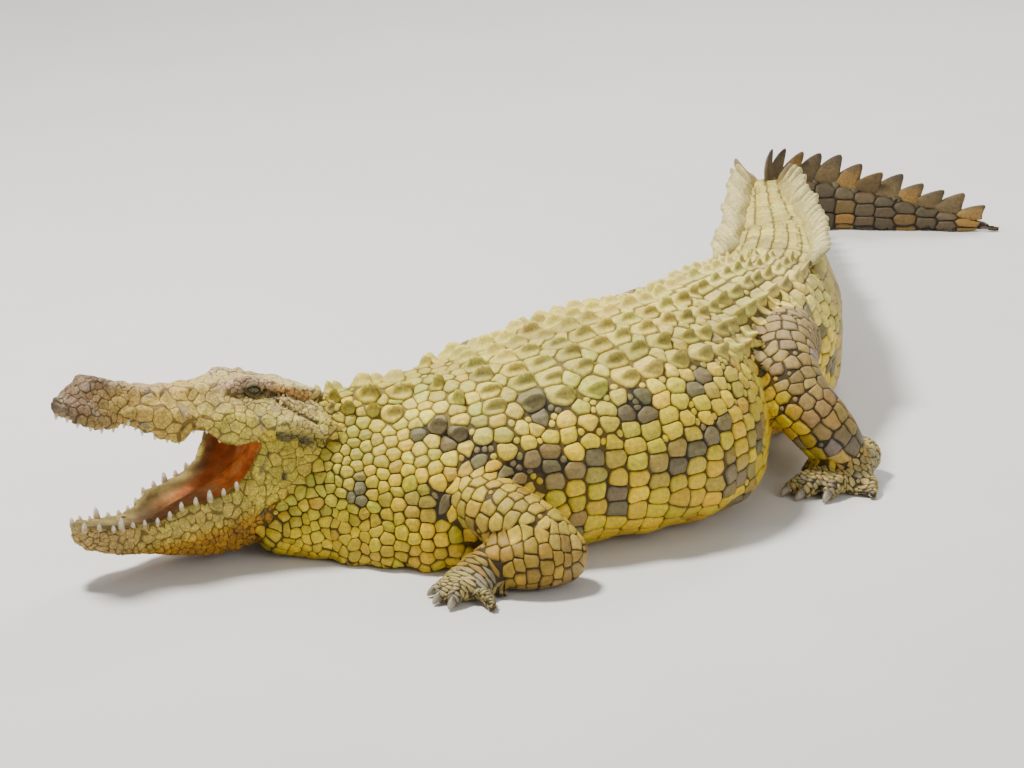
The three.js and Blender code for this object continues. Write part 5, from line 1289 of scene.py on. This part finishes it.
# ---------------------------------------------------------------- scale solids
cast = bvh.ray_cast
def make(idx, K, rings):
    """Rings of points for the scales idx, with their heights; returns vertices, faces, colours, uv roots and offsets."""
    n = len(idx)
    ph = (np.arange(K) * 2 * np.pi / K)[None, :] + rng.uniform(0, 2 * np.pi / K, (n, 1))
    c = np.cos(ph[:, :, None] - phi_n[idx][:, None, :])
    rr = np.maximum(bis[idx] - gap[idx][:, None] * 0.5, 0.0008)
    term = np.where(valid[idx][:, None, :], np.maximum(c, 0) / rr[:, None, :], 0)
    p = pexp[idx][:, None]
    cap = lim[idx] * size[idx]
    capr = cap[:, None]
    sqx, sqy = squash_x[idx][:, None], squash_y[idx][:, None]
    r = ((term ** p[..., None]).sum(-1) + (1 / capr) ** p) ** (-1 / p)
    r *= 1 + rng.uniform(-0.022, 0.022, r.shape)
    kl, eh, dm, sz = keel[idx][:, None], edge_h[idx][:, None], dome[idx][:, None], size[idx][:, None]
    kl = kl * rng.uniform(0.7, 1.2, (n, 1))
    tilt = rng.uniform(0.1, 0.5, (n, 1))
    layers, rim_keel_lights = [], []
    fs = list(rings) + [0.0]
    tn = tint[idx]
    for f in fs:
        k = 1 if f == 0 else K
        x0_, y0_ = (r * f * np.cos(ph))[:, :k], (r * f * np.sin(ph))[:, :k]
        x, y = x0_ / sqx, y0_ / sqy
        prof = 1 - smooth(f, 0.92, 1.01)
        h = eh * prof + dm * (1 - f * f) - (0.0012 if f > 0.99 else 0)
        xr, yr = x0_ / (0.5 * sz), y0_ / (0.5 * sz)
        ridge = np.maximum(0, 1 - np.abs(yr) / 0.40) ** 1.10 * smooth(xr, -1.10, 0.05) * (1 - smooth(xr, 0.72, 1.00)) * (f < 0.97)
        # painted shade on the sides of each keel, stronger on its lower side
        keel_side_shade = np.exp(-((np.abs(yr) - 0.24) / 0.13) ** 2) * smooth(xr, -0.8, -0.1) * (f < 0.97) * np.where(yr * low_side[idx][:, None] > 0, 1.15, 0.45)
        h = h + kl * ridge + eh * tilt * 0.5 * xr * prof * (kl == 0)
        w = P[idx][:, None] + T[idx][:, None] * x[..., None] + B[idx][:, None] * y[..., None]
        layers.append((w, h, f))
        # painted shade on each scale's rim where it drops to the skin and on the keel's sides, and a painted highlight
        # on the keel's top
        edge = smooth(f, 0.93, 1.0)
        deep = smooth(kl, 0.003, 0.010)
        rim_keel_light = (1.06 - np.where(soft[idx], 0.56, 0.76)[:, None] * edge) * (1 + 0.20 * ridge * deep - 0.62 * keel_side_shade * deep)
        rim_keel_lights.append(np.broadcast_to(rim_keel_light, x.shape))
    W = np.concatenate([l[0] for l in layers], 1)
    H = np.concatenate([np.broadcast_to(l[1], l[0].shape[:2]) for l in layers], 1)
    n0 = N[idx]
    if head_soft[idx].any():          # sway by the place on the skin, so that it agrees across curved plates
        st_ = (W + n0[:, None] * 0.016).reshape(-1, 3).tolist()
        dn_ = (-n0).tolist()
        q_ = W.shape[1]
        got_ = [cast(a_, dn_[i // q_], 0.034)[0] for i, a_ in enumerate(st_)]
        S_ = np.array([g_ if g_ is not None else w_ for g_, w_ in zip(got_, W.reshape(-1, 3).tolist())], float).reshape(W.shape)
        W = W + wander(S_, sway[idx]) - S_
    else:
        W = wander(W, sway[idx])
    start = (W + n0[:, None] * 0.016).reshape(-1, 3).tolist()
    dirs = (-n0).tolist()
    per = W.shape[1]
    out = []
    for i, st in enumerate(start):
        hit_ = cast(st, dirs[i // per], 0.034)
        out.append(hit_[0] if hit_[0] is not None else None)
    flatW = W.reshape(-1, 3)
    on = np.array([o if o is not None else (np.nan,) * 3 for o in out], float)
    bad = np.isnan(on[:, 0])
    on[bad] = flatW[bad]
    on = on.reshape(n, per, 3)
    badr = bad.reshape(n, per)
    base_c = np.repeat(tn[:, None], per, 1)
    sf = np.where(head_soft[idx])[0]
    if len(sf):                       # on the head the marks run across the plates
        many = lambda a: np.repeat(a[idx[sf]], per)
        mv = marking(on[sf].reshape(-1, 3), many(part_c), many(u_lab[corner]), many(v_lab[corner]), many(q_lab[corner])).reshape(len(sf), per, 3)
        base_c[sf] = mv * (1 + 0.06 * shade[idx[sf]])[:, None, None] * (1 + 0.02 * hue[idx[sf]])[:, None]
    Cc = base_c * np.concatenate(rim_keel_lights, 1)[..., None]
    V = on + n0[:, None] * H[..., None]
    V[..., 2] = np.maximum(V[..., 2], 0.0004)
    V = np.where(badr[..., None], P[idx][:, None] + n0[:, None] * 0.0005 - n0[:, None] * 0.002, V)
    F = []
    for a in range(len(fs) - 1):
        j = np.arange(K)
        if fs[a + 1] > 0:
            o, i2 = a * K, (a + 1) * K
            F.append(np.stack([o + j, o + (j + 1) % K, i2 + (j + 1) % K], -1))
            F.append(np.stack([o + j, i2 + (j + 1) % K, i2 + j], -1))
        else:
            o = a * K
            F.append(np.stack([o + j, o + (j + 1) % K, np.full(K, (a + 1) * K)], -1))
    F = np.vstack(F)
    FF = (F[None] + (np.arange(n) * per)[:, None, None]).reshape(-1, 3)
    loc = (W - P[idx][:, None])
    lu = np.stack([(loc * T[idx][:, None]).sum(-1), (loc * B[idx][:, None]).sum(-1)], -1) / np.maximum((r / np.minimum(sqx, sqy)).max(1), 1e-4)[:, None, None]
    uv = root_uv[idx][:, None] + 0.0015 * np.clip(lu, -1, 1)
    return V.reshape(-1, 3), FF, Cc.reshape(-1, 3), uv.reshape(-1, 2)


body_u = u_lab[corner]
side_l = np.sign(q_lab[corner] + 1e-9)
nm = np.array(PARTS)[part_c]
isb = part_c == PART["body"]
group = np.full(nS, "coat_limbs", dtype=object)
group[part_c == PART["head"]] = "coat_head"
group[(part_c == PART["jaw"]) | (part_c == PART["tongue"])] = "coat_jaw"
group[isb & (body_u <= 0.30)] = "coat_neck"
group[isb & (body_u > 0.30) & (body_u <= 1.32) & (side_l > 0)] = "coat_trunk_left"
group[isb & (body_u > 0.30) & (body_u <= 1.32) & (side_l <= 0)] = "coat_trunk_right"
group[isb & (body_u > 1.32)] = "coat_tail_base"
group[isb & (body_u > 2.05)] = "coat_tail_end"
isfoot = np.array([n.startswith(("palm", "sole", "finger", "toe", "web")) for n in PARTS])[part_c]
group[isfoot] = "coat_feet"
RINGS = {10: (1.0, 0.955, 0.74), 16: (1.0, 0.955, 0.80, 0.45), 22: (1.0, 0.960, 0.84, 0.56, 0.28), 24: (1.0, 0.970, 0.88, 0.62, 0.32),
         25: (1.0, 0.955, 0.84, 0.64, 0.44, 0.22), 26: (1.0, 0.955, 0.84, 0.66, 0.48, 0.30, 0.14), 28: (1.0, 0.965, 0.86, 0.56, 0.28)}
coat_obs, total = [], 0
for gname in sorted(set(group)):
    Vs, Fs, Cs, Us, base = [], [], [], [], 0
    for K in sorted(set(npt[group == gname].astype(int))):
        idx = np.where((group == gname) & (npt == K))[0]
        V, F, Cc, uv = make(idx, K, RINGS[K])
        Vs.append(V)
        Fs.append(F + base)
        Cs.append(Cc)
        Us.append(uv)
        base += len(V)
    V, F, Cc, uv = np.vstack(Vs), np.vstack(Fs), np.vstack(Cs), np.vstack(Us)
    ob = build(gname, V, F, {"Col": np.clip(Cc, 0.003, 0.95)}, uv[F.ravel()], (mat_plate if gname in ("coat_head", "coat_jaw") else mat_scale,))
    coat_obs.append(ob)
    total += len(F)
    print(gname, len(F))
print("coat triangles", total, "skin", len(tris))

# ---------------------------------------------------------------- crest scutes of the tail
def rings_mesh(R):                    # (m, n, 3) rings closed by a fan at each end
    m, n = R.shape[:2]
    i, j = np.meshgrid(np.arange(m - 1), np.arange(n), indexing="ij")
    a, b = (i * n + j).ravel(), (i * n + (j + 1) % n).ravel()
    F = np.vstack([np.stack([a, b, b + n], -1), np.stack([a, b + n, a + n], -1)])
    j = np.arange(n)
    F = np.vstack([F, np.stack([(j + 1) % n, j, np.full(n, m * n)], -1), np.stack([(m - 1) * n + j, (m - 1) * n + (j + 1) % n, np.full(n, m * n + 1)], -1)])
    return np.vstack([R.reshape(-1, 3), R[0].mean(0), R[-1].mean(0)]), F


def join_meshes(items):               # items of vertices, faces, colours, uvs
    base, Vs, Fs, Cs, Us = 0, [], [], [], []
    for V, F, c, uv in items:
        Vs.append(V)
        Fs.append(F + base)
        Cs.append(c)
        Us.append(uv)
        base += len(V)
    return np.vstack(Vs), np.vstack(Fs), np.vstack(Cs), np.vstack(Us)


hh_ = np.array([-0.42, -0.15, 0.04, 0.16, 0.30, 0.45, 0.60, 0.74, 0.86, 0.94, 0.985])
th_ = np.arange(14) * 2 * np.pi / 14
blades = []
for k, s in enumerate(CREST_AT[:-1]):
    double = s < CREST_JOIN
    step = CREST_STEP * (1.12 if double else 0.98)
    for side in ((1, -1) if double else (0,)):
        high = float(crest_high(s)) * rng.uniform(0.80, 1.06) * (0.74 if double else 0.88)
        lean = side * 0.48 + rng.normal() * 0.11
        l0 = side * float(crest_gap(s))
        t0 = float(top(s))
        h = np.clip(hh_, 0, 1)
        xc = (0.34 if double else 0.62) * step * h ** 1.8 + 0.05 * step
        hw = (0.74 if double else 0.60) * step * np.maximum(1 - h ** 1.9, 0.02) ** 0.62
        tk_ = (0.0150 if double else 0.0075) * np.maximum(1 - h ** 1.5, 0.03) ** 0.7 + 0.0010
        z = t0 + hh_ * high if not double else t0 - 0.004 + hh_ * (high + 0.004)
        bend = 0.0022 * np.sin(hh_ * 3 + k) + side * 0.004 * np.sin(np.clip(hh_, 0, 1) * np.pi)
        pts = []
        for i in range(len(hh_)):
            x = xc[i] + hw[i] * np.cos(th_)
            y = tk_[i] * np.sign(np.sin(th_)) * np.abs(np.sin(th_)) ** 1.2 + bend[i]
            out_ = side * 0.40 * x * min(max(hh_[i], 0.0) * 1.8, 1.0)
            pts.append(from_spine(s + x, l0 + y + out_ + lean * max(hh_[i], -0.2) * high, z[i] + 0 * x))
        V, F = rings_mesh(np.array(pts))
        hv = np.r_[np.repeat(hh_, len(th_)), hh_[0], hh_[-1]]
        edge = np.r_[np.tile(np.abs(np.cos(th_)), len(hh_)), 1, 1]
        pale, base_c = C(0.66, 0.575, 0.25), C(0.53, 0.450, 0.150)
        if not double or s > 2.45:
            q_ = float(smooth(s, 2.40, 2.62))
            brown = C(0.070, 0.052, 0.030) if k % 4 else C(0.20, 0.115, 0.030)
            pale = pale * (1 - q_) + brown * 0.8 * q_
            base_c = base_c * (1 - q_) + (C(0.29, 0.165, 0.035) if k % 3 == 0 else C(0.14, 0.095, 0.034)) * q_
        c = mix(np.tile(base_c, (len(V), 1)), pale, smooth(hv, 0.35, 0.92) * (0.65 + 0.35 * edge))
        # painted shade on each blade's front and rear edges near its base, where neighbouring blades overlap
        c = mix(c, c * 0.45, smooth(edge, 0.93, 1.0) * (1 - smooth(hv, 0.30, 0.60)) * 0.8)
        c *= (1 + 0.10 * rng.normal()) * (1 + 0.08 * lumps(V, 0.03, 71))[:, None]
        al_ = np.array([(s + 0.13) / (TOTAL_SPINE + 0.13)])
        uv0 = chart_uv(np.array([PART["body"]]), al_, np.array([0.25 * side]))[0]
        uv = uv0 + 0.0015 * np.stack([np.clip(hv, -1, 1), edge], -1)
        blades.append((V, F, c, uv))
V, F, c, uv = join_meshes(blades)
crest_ob = build("crest_scutes", V, F, {"Col": np.clip(c, 0.004, 0.95)}, uv[F.ravel()], (mat_crest,))

# ---------------------------------------------------------------- teeth
teeth = []


def tooth(x, y, z, high, thick, lean, out):
    n, m = 14, 9
    t = np.linspace(0, 1, m)
    r = thick * np.sqrt(np.maximum(1 - t ** 1.6, 0.004))
    sg = math.copysign(1, high)
    zz = z - sg * 0.006 + t * (high + sg * 0.006)
    a = np.arange(n) * 2 * np.pi / n
    R = np.stack([x + (-0.10 * high * sg * t * t)[:, None] + r[:, None] * np.cos(a) * 1.05,
                  y + (lean * t * t)[:, None] + r[:, None] * np.sin(a) * 0.92, np.repeat(zz[:, None], n, 1)], -1)
    V, F = rings_mesh(out(R))
    if np.einsum("ij,ij->i", V[F[:, 0]] - V.mean(0), np.cross(V[F[:, 1]] - V.mean(0), V[F[:, 2]] - V.mean(0))).sum() < 0:
        F = F[:, ::-1]
    tv = np.r_[np.repeat(t, n), 0, 1]
    c = mix(np.tile(C(0.50, 0.37, 0.20), (len(V), 1)), C(0.80, 0.73, 0.56), smooth(tv, 0.25, 0.75))
    teeth.append((V, F, c * rng.uniform(0.9, 1.06), np.stack([tv * 0.002 + 0.95, np.full(len(V), 0.90)], -1)))


up_len = [0.009, 0.0085, 0.010, 0.0095, 0.011, 0.013, 0.011, 0.0095, 0.009, 0.0095, 0.009, 0.008]
for k, h in enumerate(LOWER_TEETH):
    x = 0.499 - k * 0.0235 + (0.008 if k > 2 else 0) - (0.004 * (k - 8) if k > 8 else 0)
    for sg in (1, -1):
        tooth(x, sg * float(j_half(x)) * 0.88, float(j_top(x)) - 0.001, h * 1.05, 0.0035 + h * 0.16, sg * h * 0.12, jaw_out)
for k, h in enumerate(up_len):
    x = 0.481 - k * 0.026
    for sg in (1, -1):
        tooth(x, sg * float(h_half(x)) * 0.84, float(h_edge(x)) + 0.004, -h, 0.0042, sg * 0.001, head_out)
V, F, c, uv = join_meshes(teeth)
teeth_ob = build("teeth", V, F, {"Col": c}, uv[F.ravel()], (mat_tooth,))

# ---------------------------------------------------------------- claws
claws, claw_nodes = [], []
for side, (fore, hind) in SIDES.items():
    for digits, place, nm_ in ((FINGERS, fore, "claw_hand"), (TOES, hind, "claw_foot")):
        for k, (long_c, path) in enumerate(digits):
            if not long_c:
                continue
            pts = place(path)
            q = np.array(pts[-1][:3])
            d = unit(q - np.array(pts[-2][:3]))
            fl = unit(np.array([d[0], d[1], 0.0]))
            r = path[2][3] * 0.80
            n, m = 18, 14
            t = np.linspace(0, 1, m)
            start = q - d * 0.004
            tip = q + fl * long_c
            tip[2] = 0.0042
            mid_ = q + fl * long_c * 0.55
            mid_[2] = max(q[2] * 0.80, 0.006) + 0.0015
            cen = ((1 - t) ** 2)[:, None] * start + (2 * t * (1 - t))[:, None] * mid_ + (t ** 2)[:, None] * tip
            rad = r * 1.02 * (1 - t ** 1.5) ** 0.62 + 0.0009
            sd = unit(np.cross(fl, [0, 0, 1.0]))
            a = np.arange(n) * 2 * np.pi / n
            dirs_ = unit(np.gradient(cen, axis=0))
            upv = unit(np.cross(sd, dirs_))
            R = cen[:, None] + sd * (np.sin(a)[None, :, None] * (rad * 0.82)[:, None, None]) + upv[:, None] * (np.cos(a)[None, :, None] * rad[:, None, None])
            R[..., 2] = np.maximum(R[..., 2], 0.0006)
            V, F = rings_mesh(R)
            if np.einsum("ij,ij->i", V[F[:, 0]] - V.mean(0), np.cross(V[F[:, 1]] - V.mean(0), V[F[:, 2]] - V.mean(0))).sum() < 0:
                F = F[:, ::-1]
            tv = np.r_[np.repeat(t, n), 0, 1]
            c = mix(np.tile(C(0.10, 0.083, 0.060), (len(V), 1)), C(0.34, 0.295, 0.215), smooth(tv, 0.15, 0.8))
            c = c * (1 + 0.12 * np.sin(np.r_[np.tile(a * 7, m), 0, 0]) * 0.5)[:, None]
            claws.append((V, F, c, np.stack([0.93 + tv * 0.002, np.full(len(V), 0.93)], -1)))
            claw_nodes.append(f"{nm_}_{side}_{k + 1}")
V, F, c, uv = join_meshes(claws)
claw_ob = build("claws", V, F, {"Col": np.clip(c, 0.01, 0.9)}, uv[F.ravel()], (mat_claw,))

# ---------------------------------------------------------------- eyes and lids
eye_obs, lid_items = {}, []
for name, sg in (("eye_left", 1), ("eye_right", -1)):
    ec = np.array([EYE_AT[0], sg * EYE_AT[1], EYE_AT[2]])
    g = unit(np.array([0.22, sg * 0.93, 0.20]))
    hz = unit(np.cross(g, [0, 0, 1.0])) * sg
    if hz[0] < 0:
        hz = -hz
    vt = unit(np.cross(hz, g))
    if vt[2] < 0:
        vt = -vt
    a, b = np.linspace(0.001, np.pi - 0.001, 56), np.arange(72) * 2 * np.pi / 72
    x, y = np.sin(a)[:, None] * np.cos(b), np.sin(a)[:, None] * np.sin(b)
    r = EYE_R * 0.985 * (1 + 0.035 * np.exp(-(a / 0.55) ** 2))[:, None]
    R = ec + r[..., None] * (np.cos(a)[:, None, None] * g + x[..., None] * hz + y[..., None] * vt)
    V, F = rings_mesh(head_out(R))
    cen = V.mean(0)
    if np.einsum("ij,ij->i", V[F[:, 0]] - cen, np.cross(V[F[:, 1]] - cen, V[F[:, 2]] - cen)).sum() < 0:
        F = F[:, ::-1]
    X, Y, A = x.ravel(), y.ravel(), np.repeat(a, 72)
    ir = C(0.125, 0.110, 0.030)[None] * (0.75 + 0.5 * (0.5 + 0.5 * np.sin(np.arctan2(Y, X) * 41 + 3 * np.sin(A * 22))))[:, None]
    ir = mix(ir, C(0.085, 0.080, 0.020), smooth(A, 0.42, 0.62))
    c = mix(ir, C(0.035, 0.026, 0.016), smooth(A, 0.66, 0.74))
    slit = (1 - smooth(np.abs(X) / (0.085 * np.sqrt(np.maximum(1 - (Y / 0.52) ** 2, 0.0001))), 0.85, 1.1)) * (np.abs(Y) < 0.52) * (A < 1.2)
    c = mix(c, C(0.004, 0.004, 0.004), slit)
    c = np.vstack([c, c[:1], C(0.03, 0.02, 0.015)[None]])
    o = build(name + "_ball", V, F, {"Col": c}, None, (mat_eye,))
    eye_obs[name] = o
    ph = np.arange(72) * 2 * np.pi / 72
    ax_, ay_ = math.radians(44), math.radians(16.5)
    a_in = (np.abs(np.cos(ph) / ax_) ** 1.55 + np.abs(np.sin(ph) / ay_) ** 1.55) ** (-1 / 1.55)
    upper = smooth(np.sin(ph), -0.1, 0.6)
    steps = [(1.004, 0), (1.060, 1.5), (1.085, 5), (1.085, 11), (1.060, 15), (1.070, 20), (1.075, 27), (1.040, 36), (0.97, 46), (0.88, 55), (0.72, 66)]
    L = []
    for rr_, da in steps:
        aa = a_in + math.radians(da)
        rr2 = 1 + (rr_ - 1) * (1 + 0.95 * upper * (da > 2)) if rr_ > 1 else rr_
        wr = 1 + (0.014 * np.sin(ph * 9 + da * 0.7) + 0.012 * np.sin(ph * 17 - da * 0.5 + 1)) * (3 < da < 50)
        rad = EYE_R * rr2 * wr
        L.append(ec + (rad * np.cos(aa))[:, None] * g + (rad * np.sin(aa) * np.cos(ph))[:, None] * hz + (rad * np.sin(aa) * np.sin(ph))[:, None] * vt)
    R = np.array(L)
    m, n = R.shape[:2]
    i, j = np.meshgrid(np.arange(m - 1), np.arange(n), indexing="ij")
    q0, q1 = (i * n + j).ravel(), (i * n + (j + 1) % n).ravel()
    F = np.vstack([np.stack([q0, q1, q1 + n], -1), np.stack([q0, q1 + n, q0 + n], -1)])
    V = head_out(R).reshape(-1, 3)
    fn = np.cross(V[F[:, 1]] - V[F[:, 0]], V[F[:, 2]] - V[F[:, 0]])
    if (fn * (V[F[:, 0]] - head_out(ec))).sum() < 0:
        F = F[:, ::-1]
    da_ = np.repeat([s_[1] for s_ in steps], n)
    up_ = np.tile(upper, len(steps))
    c = mix(np.tile(C(0.018, 0.014, 0.009), (len(V), 1)), C(0.10, 0.080, 0.034), smooth(da_, 4, 16))
    c = mix(c, C(0.30, 0.220, 0.120), smooth(da_, 18, 32) * up_ * 0.8)
    c = mix(c, C(0.26, 0.210, 0.085), smooth(da_, 20, 36) * (1 - up_) * 0.9)
    c *= (1 + 0.14 * lumps(V, 0.007, 81))[:, None]
    al_, an_ = chart_angle_length(head_out(ec)[None], np.array([PART["head"]]), np.array([EYE_AT[0]]))
    uv0 = chart_uv(np.array([PART["head"]]), al_, an_)[0]
    uv = uv0 + np.stack([(V - head_out(ec)) @ (HEAD_M @ hz), (V - head_out(ec)) @ (HEAD_M @ vt)], -1) * 0.1
    lid_items.append((V, F, c, uv))
V, F, c, uv = join_meshes(lid_items)
lid_ob = build("eyelids", V, F, {"Col": np.clip(c, 0.01, 0.9)}, uv[F.ravel()], (mat_lid,))

# ---------------------------------------------------------------- what stands for what
flesh = [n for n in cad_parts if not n.startswith(("eye_", "claw_"))]
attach(skin, "root")
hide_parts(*flesh)
for ob in coat_obs:
    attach(ob, "root")
for ob, sl in ((crest_ob, "tail"), (teeth_ob, "lower_jaw"), (claw_ob, "claw"), (lid_ob, "head")):
    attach(ob, "root")
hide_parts(*claw_nodes)
for n, ob in eye_obs.items():
    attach(ob, "root")
    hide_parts(n)

# ---------------------------------------------------------------- floor, light and camera
fm, nt, b = material("pale_floor")
tc = nd(nt, "ShaderNodeTexCoord")
n1 = nd(nt, "ShaderNodeTexNoise", Scale=3.0, Detail=6.0)
nt.links.new(tc.outputs["Object"], n1.inputs["Vector"])
rp = nd(nt, "ShaderNodeMapRange")
rp.inputs[3].default_value, rp.inputs[4].default_value = 0.70, 0.76
nt.links.new(n1.outputs["Fac"], rp.inputs[0])
cm = nd(nt, "ShaderNodeCombineColor")
for k in range(3):
    nt.links.new(rp.outputs[0], cm.inputs[k])
nt.links.new(cm.outputs[0], b.inputs["Base Color"])
b.inputs["Roughness"].default_value = 0.85
me = bpy.data.meshes.new("floor")
me.from_pydata([(-60, -60, 0), (60, -60, 0), (60, 60, 0), (-60, 60, 0)], [], [(0, 1, 2, 3)])
me.materials.append(fm)
floor = bpy.data.objects.new("floor", me)
bpy.context.scene.collection.objects.link(floor)


def area(name, at, aim, size_, watts, color=(1, 1, 1)):
    li = bpy.data.lights.new(name, "AREA")
    li.shape, li.size, li.energy, li.color = "DISK", size_, watts, color
    ob = bpy.data.objects.new(name, li)
    ob.location = at
    ob.rotation_euler = (Vector(aim) - Vector(at)).to_track_quat("-Z", "Y").to_euler()
    bpy.context.scene.collection.objects.link(ob)
    return ob


area("key", (-2.0, -0.4, 4.9), (0, 0, 0.1), 1.0, 500, (1.0, 0.955, 0.87))
area("fill", (3.0, -4.6, 2.4), (0, 0, 0.2), 3.0, 80, (1.0, 0.97, 0.93))
area("rim", (1.4, 4.0, 3.8), (0, 0, 0.2), 2.4, 190, (1.0, 0.97, 0.92))
world = bpy.data.worlds.new("studio")
world.use_nodes = True
bg = world.node_tree.nodes["Background"]
bg.inputs["Color"].default_value = (1.0, 0.975, 0.94, 1)
bg.inputs["Strength"].default_value = 0.40
bpy.context.scene.world = world

cam = bpy.data.cameras.new("camera")
cam.sensor_width, cam.lens = 36.0, 140.27
cam.clip_end = 200
cam_ob = bpy.data.objects.new("camera", cam)
cam_ob.location = (float(SHIFT[0]), float(SHIFT[1]), 2.6412)
cam_ob.rotation_euler = (math.radians(72), 0, 0)
bpy.context.scene.collection.objects.link(cam_ob)
bpy.context.scene.camera = cam_ob
